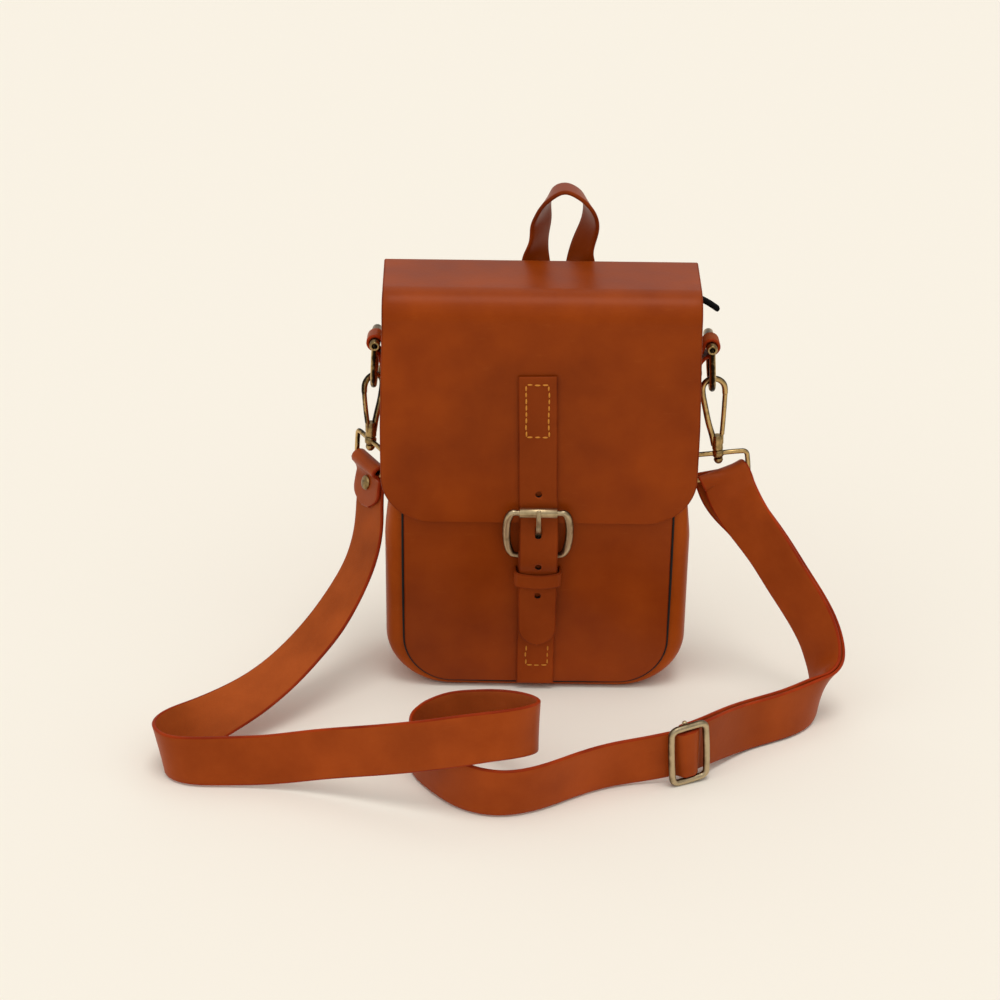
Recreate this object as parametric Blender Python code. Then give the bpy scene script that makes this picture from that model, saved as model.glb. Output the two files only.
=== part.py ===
"""Leather sling bag with a buckled flap, a zip under the flap, side snap hooks and a loose shoulder strap.

Lengths are in millimetres until mesh_object() and wire() turn them into metres.
+X is right seen from the front, the front faces -Y, +Z is up and the bag stands on z = 0.
"""

import math

import bpy
import numpy as np

MM = 0.001
GAP = 0.3  # clearance between pieces that touch

# Body
PANEL_WIDTH = 169.0
PANEL_BOTTOM = 4.8
PANEL_CORNER = 31.0
FRONT_TOP = 257.0
BACK_TOP = 263.0
BODY_DEPTH = 68.4
LEATHER = 2.2
GUSSET_BULGE = 10.0
GUSSET_BELLY = 2.5  # how much further the gusset bulges below the side fittings
GUSSET_TOP = 250.0

# Flap
FLAP_WIDTH = 197.0
FLAP_THICKNESS = 2.4
FLAP_TOP = 270.0
FLAP_FRONT = -38.2
FLAP_BACK = 35.9
FLAP_BOTTOM = 121.0
FLAP_CORNER = 30.0
FRONT_BEND = 18.0
BACK_BEND = 6.0
HEM_BOTTOM = 236.0

# Closure strap and buckle
CLOSURE_WIDTH = 25.0
HOLE_PITCH = 22.0
HEEL_Y, HEEL_Z = -38.4, 98.5
HEEL_RADIUS = 1.6
ROLLER_Y, ROLLER_Z = -44.4, 130.8
ROLLER_RADIUS = 3.1

# Side hardware
TAB_WIDTH = 20.0
RING_BAR_RADIUS = 3.2
HOOK_WIRE = 1.9

# Shoulder strap
STRAP_WIDTH = 32.0
STRAP_THICKNESS = 2.4
SLIDER_STATION = 40
SLIDER_LIFT = 4.1
HUMP = 5.2
LAYER_GAP = 4.0

# Middle of the strap (x, y, z) and the way across it, from its right or lower edge to its left or
# upper edge: from the left loop down to the floor, one turn round, to the adjuster and up to the
# right loop.
STRAP_ROUTE = [
    (-103.8, 2.1, 142, -49, 87, 0),
    (-105.2, 1.2, 136, -50, 86, -5),
    (-106.4, -0.2, 130, -52, 84, -10),
    (-108.2, -6.6, 103, -59, 78, -22),
    (-114, -17, 80, -62, 76, -18),
    (-123, -28, 64, -62, 78, -4),
    (-135, -42, 49, -60, 79, 8),
    (-149, -57, 37, -58, 80, 12),
    (-164, -73, 28, -56, 80, 20),
    (-179, -87, 22, -52, 79, 32),
    (-194, -101, 19, -48, 74, 46),
    (-209, -114, 17, -42, 60, 68),
    (-221, -126, 17, -34, 36, 86),
    (-227, -139, 17, -22, 10, 97),
    (-221, -150, 17, -12, 0, 99),
    (-207, -155, 17, -4, 6, 100),
    (-188, -155, 17, 0, 12, 99),
    (-160, -156, 19, 1, 14, 99),
    (-130, -161, 26, 0, 14, 99),
    (-100, -169, 34, 0, 12, 99),
    (-76, -176, 41, 0, 10, 99),
    (-54, -182, 48, 0, 8, 99),
    (-34, -186, 54, 0, 8, 99),
    (-14, -182, 55, 0, 10, 99),
    (-1, -168, 51, 2, 10, 99),
    (-5, -150, 45, 4, 10, 99),
    (-20, -133, 38, 4, 8, 99),
    (-38, -118, 29, 2, 6, 99),
    (-56, -109, 21, 0, 4, 99),
    (-70, -113, 17, 0, 4, 99),
    (-76, -126, 17, 0, 6, 99),
    (-74, -141, 17, -3, 10, 99),
    (-66, -155, 17, -5, 10, 99),
    (-54, -170, 17, -6, 8, 99),
    (-40, -181, 17, -4, 2, 99),
    (-22, -186, 17, -2, -6, 99),
    (0, -180, 17, -4, -10, 99),
    (22, -166, 17, -6, -12, 99),
    (44, -154, 17, -7, -10, 99),
    (66, -148, 18, -8, -6, 99),
    (89.5, -143, 21.3, -8, -5, 99),
    (112, -125, 20, -8, -3, 99),
    (132, -107, 17, -9, 2, 99),
    (150, -97, 17, -8, 3, 99),
    (166, -86, 17, -4, 4, 99),
    (176, -76, 18, 8, -4, 99),
    (183, -65, 22, 30, -20, 92),
    (186, -55, 30, 46, -36, 81),
    (184, -47, 42, 54, -42, 73),
    (178, -41, 55, 60, -38, 70),
    (169, -36, 69, 62, -34, 71),
    (159, -31, 83, 63, -32, 71),
    (149, -25, 97, 64, -30, 70),
    (139, -18, 108.5, 70, -26, 66),
    (128, -9, 119, 84, -16, 50),
    (119.5, 0, 128, 96, -2, 27),
    (116.7, 4.2, 134.2, 98, 0, 21),
]


def clear_scene():
    for obj in list(bpy.data.objects):
        bpy.data.objects.remove(obj, do_unlink=True)


def material(name, colour, roughness, metallic=0.0):
    made = bpy.data.materials.new(name)
    made.use_nodes = True
    shader = made.node_tree.nodes["Principled BSDF"]
    shader.inputs["Base Color"].default_value = (*colour, 1.0)
    shader.inputs["Roughness"].default_value = roughness
    shader.inputs["Metallic"].default_value = metallic
    return made


def add_to_scene(obj, finish, pivot):
    obj.data.materials.append(finish)
    obj.location = [value * MM for value in pivot]
    bpy.context.scene.collection.objects.link(obj)
    return obj


def mesh_object(name, points, faces, finish, pivot=(0, 0, 0), smooth=False):
    """A closed mesh from points in millimetres, with the object's origin at the pivot."""
    local = (np.array(points, float) - pivot) * MM
    volume = 0.0
    for face in faces:
        for j in range(1, len(face) - 1):
            volume += np.linalg.det(local[[face[0], face[j], face[j + 1]]])
    if volume < 0:
        faces = [face[::-1] for face in faces]
    mesh = bpy.data.meshes.new(name)
    mesh.from_pydata(local.tolist(), [], faces)
    mesh.validate()
    if smooth:
        mesh.shade_smooth()
        mesh.set_sharp_from_angle(angle=math.radians(40))
    return add_to_scene(bpy.data.objects.new(name, mesh), finish, pivot)


def anticlockwise(outline):
    pairs = np.array(outline, float)
    following = np.roll(pairs, -1, axis=0)
    area = (pairs[:, 0] * following[:, 1] - following[:, 0] * pairs[:, 1]).sum()
    return [tuple(p) for p in (pairs if area > 0 else pairs[::-1])]


def prism(name, outline, axis, start, end, finish, pivot=(0, 0, 0)):
    """Extrudes an outline from start to end along an axis. Its pairs are (y, z) along x, (x, z) along y
    and (x, y) along z."""
    order = {"x": (1, 2, 0), "y": (2, 0, 1), "z": (0, 1, 2)}[axis]
    if axis == "y":
        outline = [(z, x) for x, z in outline]
    outline = anticlockwise(outline)
    count = len(outline)
    points = np.zeros((2 * count, 3))
    points[:, order[:2]] = outline + outline
    points[:count, order[2]] = start
    points[count:, order[2]] = end
    faces = [tuple(reversed(range(count))), tuple(range(count, 2 * count))]
    for i in range(count):
        j = (i + 1) % count
        faces.append((i, j, count + j, count + i))
    return mesh_object(name, points, faces, finish, pivot)


def box(name, low, high, finish, pivot=(0, 0, 0)):
    corners = [(low[0], low[1]), (high[0], low[1]), (high[0], high[1]), (low[0], high[1])]
    return prism(name, corners, "z", low[2], high[2], finish, pivot)


def arc(centre, radius, start, end, steps):
    """Points on an arc, with angles in degrees."""
    angles = np.radians(np.linspace(start, end, steps + 1))
    return [(centre[0] + radius * math.cos(a), centre[1] + radius * math.sin(a)) for a in angles]


def thick_line(path, thickness):
    """The closed outline of a line with a thickness, anticlockwise for a line that runs with its
    left side inwards."""
    line = np.array(path, float)
    along = np.gradient(line, axis=0)
    along /= np.linalg.norm(along, axis=1)[:, None]
    left = np.column_stack([-along[:, 1], along[:, 0]]) * thickness / 2
    return [tuple(p) for p in line - left] + [tuple(p) for p in (line + left)[::-1]]


def tube(name, points, radius, finish, closed=False, pivot=(0, 0, 0), sides=8):
    """A round bar bent along the points, joined end to end or with flat ends."""
    line = np.array(points, float)
    count = len(line)
    if closed:
        along = unit(np.roll(line, -1, axis=0) - np.roll(line, 1, axis=0))
    else:
        along = unit(np.gradient(line, axis=0))
    spread = np.linalg.svd(line - line.mean(axis=0))[2]
    flat = spread[2] if count > 2 else unit(np.cross(along[0], (0.3, 0.5, 0.8)))
    side = unit(np.cross(along, flat))
    up = np.cross(side, along)
    rings = []
    for k in range(sides):
        angle = 2 * math.pi * (k + 0.5) / sides
        rings.append(line + (side * math.cos(angle) + up * math.sin(angle)) * radius)
    shape = np.stack(rings, axis=1).reshape(-1, 3)
    faces = []
    for i in range(count if closed else count - 1):
        here, there = i * sides, (i + 1) % count * sides
        for k in range(sides):
            n = (k + 1) % sides
            faces.append((here + k, there + k, there + n, here + n))
    if not closed:
        faces.append(tuple(range(sides)))
        faces.append(tuple(reversed(range((count - 1) * sides, count * sides))))
    return mesh_object(name, shape, faces, finish, pivot, smooth=True)


def turned(name, profile, centre, finish, axis=(0, 0, 1), steps=24):
    """A solid of revolution from a profile of (radius, height), which may start and end on its axis."""
    profile = anticlockwise(profile)
    tips = [i for i, pair in enumerate(profile) if pair[0] == 0]
    if tips:
        first = next(i for i in tips if profile[i - 1][0] == 0)
        profile = profile[first:] + profile[:first]
    ring = [pair for pair in profile if pair[0] > 0]
    axis = unit(np.array(axis, float))
    side = unit(np.cross((1.0, 0.0, 0.0) if abs(axis[0]) < 0.9 else (0.0, 1.0, 0.0), axis))
    up = np.cross(axis, side)
    points = []
    for step in range(steps):
        angle = 2 * math.pi * (step + 0.5) / steps
        away = side * math.cos(angle) + up * math.sin(angle)
        points += [centre + radius * away + height * axis for radius, height in ring]
    size = len(ring)
    faces = []
    for step in range(steps):
        here, there = step * size, (step + 1) % steps * size
        for i in range(size - 1 if tips else size):
            j = (i + 1) % size
            faces.append((here + i, there + i, there + j, here + j))
    if tips:
        for end, height in ((0, profile[0][1]), (size - 1, profile[-1][1])):
            points.append(centre + height * axis)
            for step in range(steps):
                here, there = step * size + end, (step + 1) % steps * size + end
                corner = (here, there) if end else (there, here)
                faces.append((*corner, len(points) - 1))
    return mesh_object(name, points, faces, finish, tuple(centre), smooth=True)


def unit(vectors):
    return vectors / np.linalg.norm(vectors, axis=-1, keepdims=True)


def spline_through(rows, places):
    """A natural cubic spline through the rows, read at places along its chord length."""
    rows = np.array(rows, float)
    chord = np.linalg.norm(np.diff(rows[:, :3], axis=0), axis=1)
    knots = np.concatenate([[0], np.cumsum(chord)])
    count = len(rows)
    system = np.eye(count)
    wanted = np.zeros_like(rows)
    for i in range(1, count - 1):
        system[i, i - 1 : i + 2] = chord[i - 1], 2 * (chord[i - 1] + chord[i]), chord[i]
        slopes = (rows[i + 1] - rows[i]) / chord[i] - (rows[i] - rows[i - 1]) / chord[i - 1]
        wanted[i] = 6 * slopes
    bend = np.linalg.solve(system, wanted)
    if places is None:
        return knots
    places = np.asarray(places, float)
    i = np.clip(np.searchsorted(knots, places, side="right") - 1, 0, count - 2)
    width = chord[i][:, None]
    after = (places - knots[i])[:, None]
    before = width - after
    cubic = (bend[i] * before**3 + bend[i + 1] * after**3) / (6 * width)
    line = (rows[i] / width - bend[i] * width / 6) * before
    return cubic + line + (rows[i + 1] / width - bend[i + 1] * width / 6) * after


def strap_frames(places):
    """Middle, along, across and outward directions of the strap's route at these places."""
    places = np.asarray(places, float)
    rows = spline_through(STRAP_ROUTE, places)
    ahead = spline_through(STRAP_ROUTE, places + 0.5)[:, :3]
    behind = spline_through(STRAP_ROUTE, places - 0.5)[:, :3]
    along = unit(ahead - behind)
    across = rows[:, 3:]
    across = unit(across - (across * along).sum(1)[:, None] * along)
    return rows[:, :3], along, across, np.cross(along, across)


def ribbon(name, middle, across, widths, thickness, finish, pivot=(0, 0, 0)):
    """A flat band with square edges through the middle points."""
    middle, across = np.array(middle, float), unit(np.array(across, float))
    along = unit(np.gradient(middle, axis=0))
    face = unit(np.cross(along, across))
    half = np.array(widths, float)[:, None] / 2
    corners = [
        middle + across * half + face * thickness / 2,
        middle - across * half + face * thickness / 2,
        middle - across * half - face * thickness / 2,
        middle + across * half - face * thickness / 2,
    ]
    points = np.stack(corners, axis=1).reshape(-1, 3)
    faces = [(0, 1, 2, 3)]
    for i in range(len(middle) - 1):
        for k in range(4):
            a, b = 4 * i + k, 4 * i + (k + 1) % 4
            faces.append((a, a + 4, b + 4, b))
    last = 4 * (len(middle) - 1)
    faces.append((last + 3, last + 2, last + 1, last))
    return mesh_object(name, points, faces, finish, pivot)


def combine(obj, others, operation="DIFFERENCE"):
    """Cuts the others out of the object or joins them to it. They stay in the file, hidden from renders."""
    for other in others:
        modifier = obj.modifiers.new("With " + other.name, "BOOLEAN")
        modifier.operation = operation
        modifier.solver = "EXACT"
        modifier.object = other
        other.hide_render = True
        other.display_type = "WIRE"


def panel_outline(bottom, top, half_width, corner):
    """A panel's outline in (x, z), square at the top and rounded at the bottom."""
    right = arc((half_width - corner, bottom + corner), corner, 0, -90, 8)
    left = [(-x, z) for x, z in right[::-1]]
    return [(half_width, top), *right, *left, (-half_width, top)]


def build_body(leather, dark):
    half = PANEL_WIDTH / 2
    front = -BODY_DEPTH / 2
    outline = panel_outline(PANEL_BOTTOM, FRONT_TOP, half, PANEL_CORNER)
    prism("front_panel", outline, "y", front, front + LEATHER, leather)
    back = -front - 1.0
    outline = panel_outline(PANEL_BOTTOM, BACK_TOP, half, PANEL_CORNER)
    prism("back_panel", outline, "y", back - LEATHER, back, leather)

    # Gusset: one band bent round the sides and the bottom, bulging out between its two seams
    edge = BODY_DEPTH / 2 - LEATHER - GAP - 0.5
    shoulder = [(edge, 0.2), (edge - 0.4, 4.2), (edge - 2.6, 7.6), (edge - 7.5, 9.6), (edge - 13.0, 10.0)]
    outer = [(-y, d) for y, d in shoulder] + shoulder[::-1]
    inner = [(y * (edge - LEATHER) / edge, d) for y, d in outer[::-1]]
    profile = [(y - 0.5, d) for y, d in outer + inner]
    route = [(-half, z) for z in (GUSSET_TOP, 200.0, 150.0, 130.0, 119.0, 108.0, 80.0, 60.0)]
    bottom = PANEL_BOTTOM + PANEL_CORNER
    side = half - PANEL_CORNER
    route += arc((-side, bottom), PANEL_CORNER, 180, 270, 8)
    route += arc((side, bottom), PANEL_CORNER, 270, 360, 8)
    route += [(half, z) for z in (60.0, 80.0, 108.0, 119.0, 130.0, 150.0, 200.0, GUSSET_TOP)]
    points = []
    for x, z in route:
        inside = (max(-side, min(side, x)), max(bottom, z))
        away = unit(np.array([x - inside[0], z - inside[1]]))
        belly = GUSSET_BULGE + GUSSET_BELLY * max(0.0, min(1.0, (130.0 - z) / 22.0))
        bulge = belly * away[0] ** 2 + PANEL_BOTTOM * away[1] ** 2
        for k, (y, d) in enumerate(profile):
            reach = d * bulge / GUSSET_BULGE - (LEATHER if k >= len(outer) else 0)
            points.append((x + away[0] * reach, y, z + away[1] * reach))
    size = len(profile)
    faces = [tuple(range(size))]
    for i in range(len(route) - 1):
        for k in range(size):
            a, b = size * i + k, size * i + (k + 1) % size
            faces.append((b, a, a + size, b + size))
    faces.append(tuple(reversed(range(size * (len(route) - 1), size * len(route)))))
    mesh_object("gusset", points, faces, leather)

    # Two leather strips close the top round the zip
    inner_front = front + LEATHER + GAP
    inner_back = back - LEATHER - GAP
    box("top_facing_front", (-81, inner_front, 254.6), (81, -6.5, 256.8), leather)
    box("top_facing_back", (-81, 6.5, 254.6), (81, inner_back, 256.8), leather)
    box("zip_tape_front", (-88, -14, 253.4), (88, -2.6, 254.3), dark)
    box("zip_tape_back", (-88, 2.6, 253.4), (88, 14, 254.3), dark)


def build_zip(dark, brass):
    teeth = [(-2.2, 253.2), (2.2, 253.2), (2.2, 255.0), (1.0, 255.6), (-1.0, 255.6), (-2.2, 255.0)]
    prism("zip_teeth", teeth, "x", -86, 86, brass)
    # The doubled tape end that hangs out under the flap on the right
    path = [(90.0, 258.6), (93.0, 258.6), (96.0, 257.8), (101.0, 255.6), (108.8, 250.6)]
    prism("zip_tail", thick_line(path, 3.2), "y", -6, 6, dark)
    # Slider: a saddle over the teeth with a bridge for the puller
    pivot = (66.0, 0.0, 256.5)
    saddle = [(-5.0, 255.9), (5.0, 255.9), (5.0, 259.2), (3.8, 260.2), (-3.8, 260.2), (-5.0, 259.2)]
    slider = prism("zip_slider", saddle, "x", 61, 71, brass, pivot)
    sides = [
        box("slider_side_front", (60, -6, 257.2), (72, -1.4, 261), brass),
        box("slider_side_back", (60, 1.4, 257.2), (72, 6, 261), brass),
        box("slider_window", (64.6, -2, 257.4), (67.4, 2, 259.1), brass),
    ]
    combine(slider, sides)
    frame = [(-2.9, 0.0), (-2.9, 22.0), (2.9, 22.0), (2.9, 0.0)]
    axis = (66.0, 0.0, 258.2)
    points = [(axis[0] - reach, y, axis[2]) for y, reach in frame]
    tube("zip_puller", points, 0.55, brass, closed=True, pivot=axis, sides=6)


def build_flap(leather):
    half = FLAP_WIDTH / 2
    middle = FLAP_THICKNESS / 2
    front_centre = (FLAP_FRONT + FRONT_BEND, FLAP_TOP - FRONT_BEND)
    back_centre = (FLAP_BACK - BACK_BEND, FLAP_TOP - BACK_BEND)
    front_axis = arc(front_centre, FRONT_BEND, 135, 135, 0)[0]
    back_axis = arc(back_centre, BACK_BEND, 45, 45, 0)[0]
    # Both bends are parted at 45 degrees by a thin gap
    path = arc(back_centre, BACK_BEND - middle, 49, 90, 3)
    path += arc(front_centre, FRONT_BEND - middle, 90, 134, 4)
    prism("flap_top", thick_line(path, FLAP_THICKNESS), "x", -half, half, leather, (0, *back_axis))
    path = [(FLAP_BACK - middle, HEM_BOTTOM), (FLAP_BACK - middle, 250.0)]
    path += arc(back_centre, BACK_BEND - middle, 0, 41, 3)
    prism("flap_hem", thick_line(path, FLAP_THICKNESS), "x", -half, half, leather)

    # The front hangs from the bend and has round lower corners
    corner = FLAP_BOTTOM + FLAP_CORNER
    rows = [(y, z, half) for y, z in arc(front_centre, FRONT_BEND - middle, 136, 180, 4)]
    rows += [(FLAP_FRONT + middle, z, half) for z in (230.0, 190.0, corner)]
    for x, z in arc((half - FLAP_CORNER, corner), FLAP_CORNER, -11.25, -90, 7):
        rows.append((FLAP_FRONT + middle, z, x))
    line = np.array([(y, z) for y, z, _ in rows])
    along = np.gradient(line, axis=0)
    along[5:] = (0.0, -1.0)
    along = unit(along)
    side = np.column_stack([-along[:, 1], along[:, 0]]) * middle
    middle_line = np.array([(0.0, y, z) for y, z, _ in rows])
    points = []
    for (_, y, z), (_, _, x), (dy, dz) in zip(middle_line, rows, side):
        for px, s in ((-x, -1), (x, -1), (x, 1), (-x, 1)):
            points.append((px, y + s * dy, z + s * dz))
    faces = [(0, 1, 2, 3)]
    for i in range(len(rows) - 1):
        for k in range(4):
            a, b = 4 * i + k, 4 * i + (k + 1) % 4
            faces.append((a, a + 4, b + 4, b))
    last = 4 * (len(rows) - 1)
    faces.append((last + 3, last + 2, last + 1, last))
    mesh_object("flap_front", points, faces, leather, (0, *front_axis))
    return front_axis


def oval(radius, reach):
    return [(0, -reach), (radius, -reach), (radius, reach), (0, reach)]


def build_closure(leather, front_axis):
    half = CLOSURE_WIDTH / 2
    on_flap = FLAP_FRONT - GAP - 1.0
    pivot = (0, *front_axis)
    strap = box("closure_strap", (-half, on_flap - 1.0, 135.0), (half, on_flap + 1.0, 219.0), leather, pivot)
    combine(strap, [turned("flap_strap_hole", oval(2.0, 6), (0, on_flap, 141.5), leather, (0, 1, 0), 12)])

    # Free end: behind the roller, over the heel bar and through the keeper
    path = [
        (on_flap, 134.7), (on_flap, 130.0), (-39.9, 125.0), (-41.2, 118.5), (-42.6, 112.0), (-43.7, 105.0),
        (-44.2, 98.5), (-43.9, 94.0), (-42.7, 90.0), (-41.3, 86.5), (-40.5, 83.0), (-40.3, 78.0),
        (-40.1, 72.0), (-39.9, 64.0), (-39.6, 56.0), (-39.5, 47.5),
    ]
    middle = [(0.6, y, z) for y, z in path]
    widths = [CLOSURE_WIDTH] * len(path)
    for step in range(1, 7):
        angle = math.radians(14 * step)
        middle.append((0.6, -39.5, 47.5 - half * math.sin(angle)))
        widths.append(CLOSURE_WIDTH * math.cos(angle))
    tail = ribbon("closure_tail", middle, [(1, 0, 0)] * len(middle), widths, 2.0, leather, pivot)
    prong_hole = [(-2.3, 107.0), (-2.3, 118.0), (0.0, 120.0), (2.3, 118.0), (2.3, 107.0), (0.0, 105.0)]
    holes = [
        prism("tail_prong_hole", prong_hole, "y", -50, -36, leather),
        turned("tail_lower_hole", oval(2.0, 6), (0.6, -42.3, 93.0), leather, (0, 1, 0), 12),
        turned("tail_last_hole", oval(2.0, 6), (0.6, -39.9, 93.0 - HOLE_PITCH), leather, (0, 1, 0), 12),
    ]
    combine(tail, holes)


def build_buckle(leather, brass, satin):
    half = CLOSURE_WIDTH / 2
    on_panel = -BODY_DEPTH / 2 - GAP
    back = on_panel - 1.0
    heel = (HEEL_Y, HEEL_Z)
    wrap = back - HEEL_Y
    # The anchor strap is sewn on the front, wraps the heel bar and ends doubled
    path = [(back, 5.2), (back, 30.0), (back, 60.0), (back, 88.0)]
    path += arc(heel, wrap, 0, 180, 8)
    path += [(HEEL_Y - wrap + 0.1, 94.5), (-40.0, 90.0), (back - 2.4, 85.0), (back - 2.3, 70.0)]
    strap = prism("buckle_strap", thick_line(path, 2.0), "x", -half, half, leather)
    combine(strap, [box("prong_slot", (-2.8, -47, HEEL_Z - 5.0), (2.8, -30, HEEL_Z + 7.0), leather)])

    # Keeper: a leather loop over the free end, its feet sewn beside the anchor strap
    inner, outer = 13.9, 15.7
    front = -44.7
    profile = [
        (-outer, on_panel), (-outer, front + 2.4), (-outer + 1.6, front + 0.5), (-outer + 4.5, front),
        (outer - 4.5, front), (outer - 1.6, front + 0.5), (outer, front + 2.4), (outer, on_panel),
        (inner, on_panel), (inner, front + 3.0), (inner - 1.0, front + 2.0), (inner - 3.5, front + 1.7),
        (-inner + 3.5, front + 1.7), (-inner + 1.0, front + 2.0), (-inner, front + 3.0), (-inner, on_panel),
    ]
    prism("keeper", profile, "z", 77.6, 86.2, leather)

    # Frame: the heel bar, two bulging arms and the bar inside the roller
    arm = [
        (12.6, 0.0), (15.8, 0.04), (18.3, 0.18), (19.6, 0.42), (19.7, 0.68), (18.4, 0.90), (16.0, 1.0), (13.6, 1.0),
    ]
    ring = arm + [(-x, t) for x, t in arm[::-1]]
    points = [(x, HEEL_Y + (ROLLER_Y - HEEL_Y) * t, HEEL_Z + (ROLLER_Z - HEEL_Z) * t) for x, t in ring]
    tube("buckle_frame", points, HEEL_RADIUS, brass, closed=True, pivot=(0, *heel), sides=10)
    bore = HEEL_RADIUS + GAP
    sleeve = [(bore, -11.8), (ROLLER_RADIUS, -11.8), (ROLLER_RADIUS, 11.8), (bore, 11.8)]
    turned("buckle_roller", sleeve, (0, ROLLER_Y, ROLLER_Z), satin, (1, 0, 0), 20)

    # Prong: curled round the heel bar in the slot, then out through the free end and over the roller
    curl = HEEL_RADIUS + GAP + 0.65
    path = arc(heel, curl, -160, 100, 12)
    path += [(-40.3, 103.4), (-41.8, 108.0), (-43.6, 113.0), (-46.2, 119.0), (-48.0, 124.0), (-48.9, 129.5), (-49.0, 134.0)]
    prism("buckle_prong", thick_line(path, 1.3), "x", -1.7, 1.7, brass, (0, *heel))


def build_haul_loop(leather):
    """A strap bent into an upright loop, its legs turned flat where they are sewn behind the flap."""
    left = [
        (-3.4, 37.5, 238, 0), (-3.4, 38.2, 252, 2), (-3.2, 40.8, 262, 18), (-2.8, 43.5, 270, 38), (-1.5, 44.4, 280, 54),
        (-0.4, 43.4, 291, 52), (0.7, 41.6, 299, 64), (3.4, 40.2, 306.5, 78), (8.0, 39.3, 312, 90), (13.8, 39.0, 314.3, 90),
    ]
    right = [
        (20.2, 39.3, 312.3, 90), (26.6, 40.2, 306.8, 84), (30.2, 41.6, 299, 71), (30.4, 43.4, 290, 60), (27.5, 44.4, 280, 52),
        (25.2, 43.5, 270, 40), (25.0, 40.8, 262, 18), (25.2, 38.2, 252, 2), (25.2, 37.5, 238, 0),
    ]
    middle, across = [], []
    for side, rows in ((-1, left), (1, right)):
        for x, y, z, turn in rows:
            angle = math.radians(turn)
            middle.append((x, y, z))
            across.append((side * math.cos(angle), -math.sin(angle), 0))
    ribbon("haul_loop", middle, across, [20.0] * len(middle), 2.6, leather)


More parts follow.
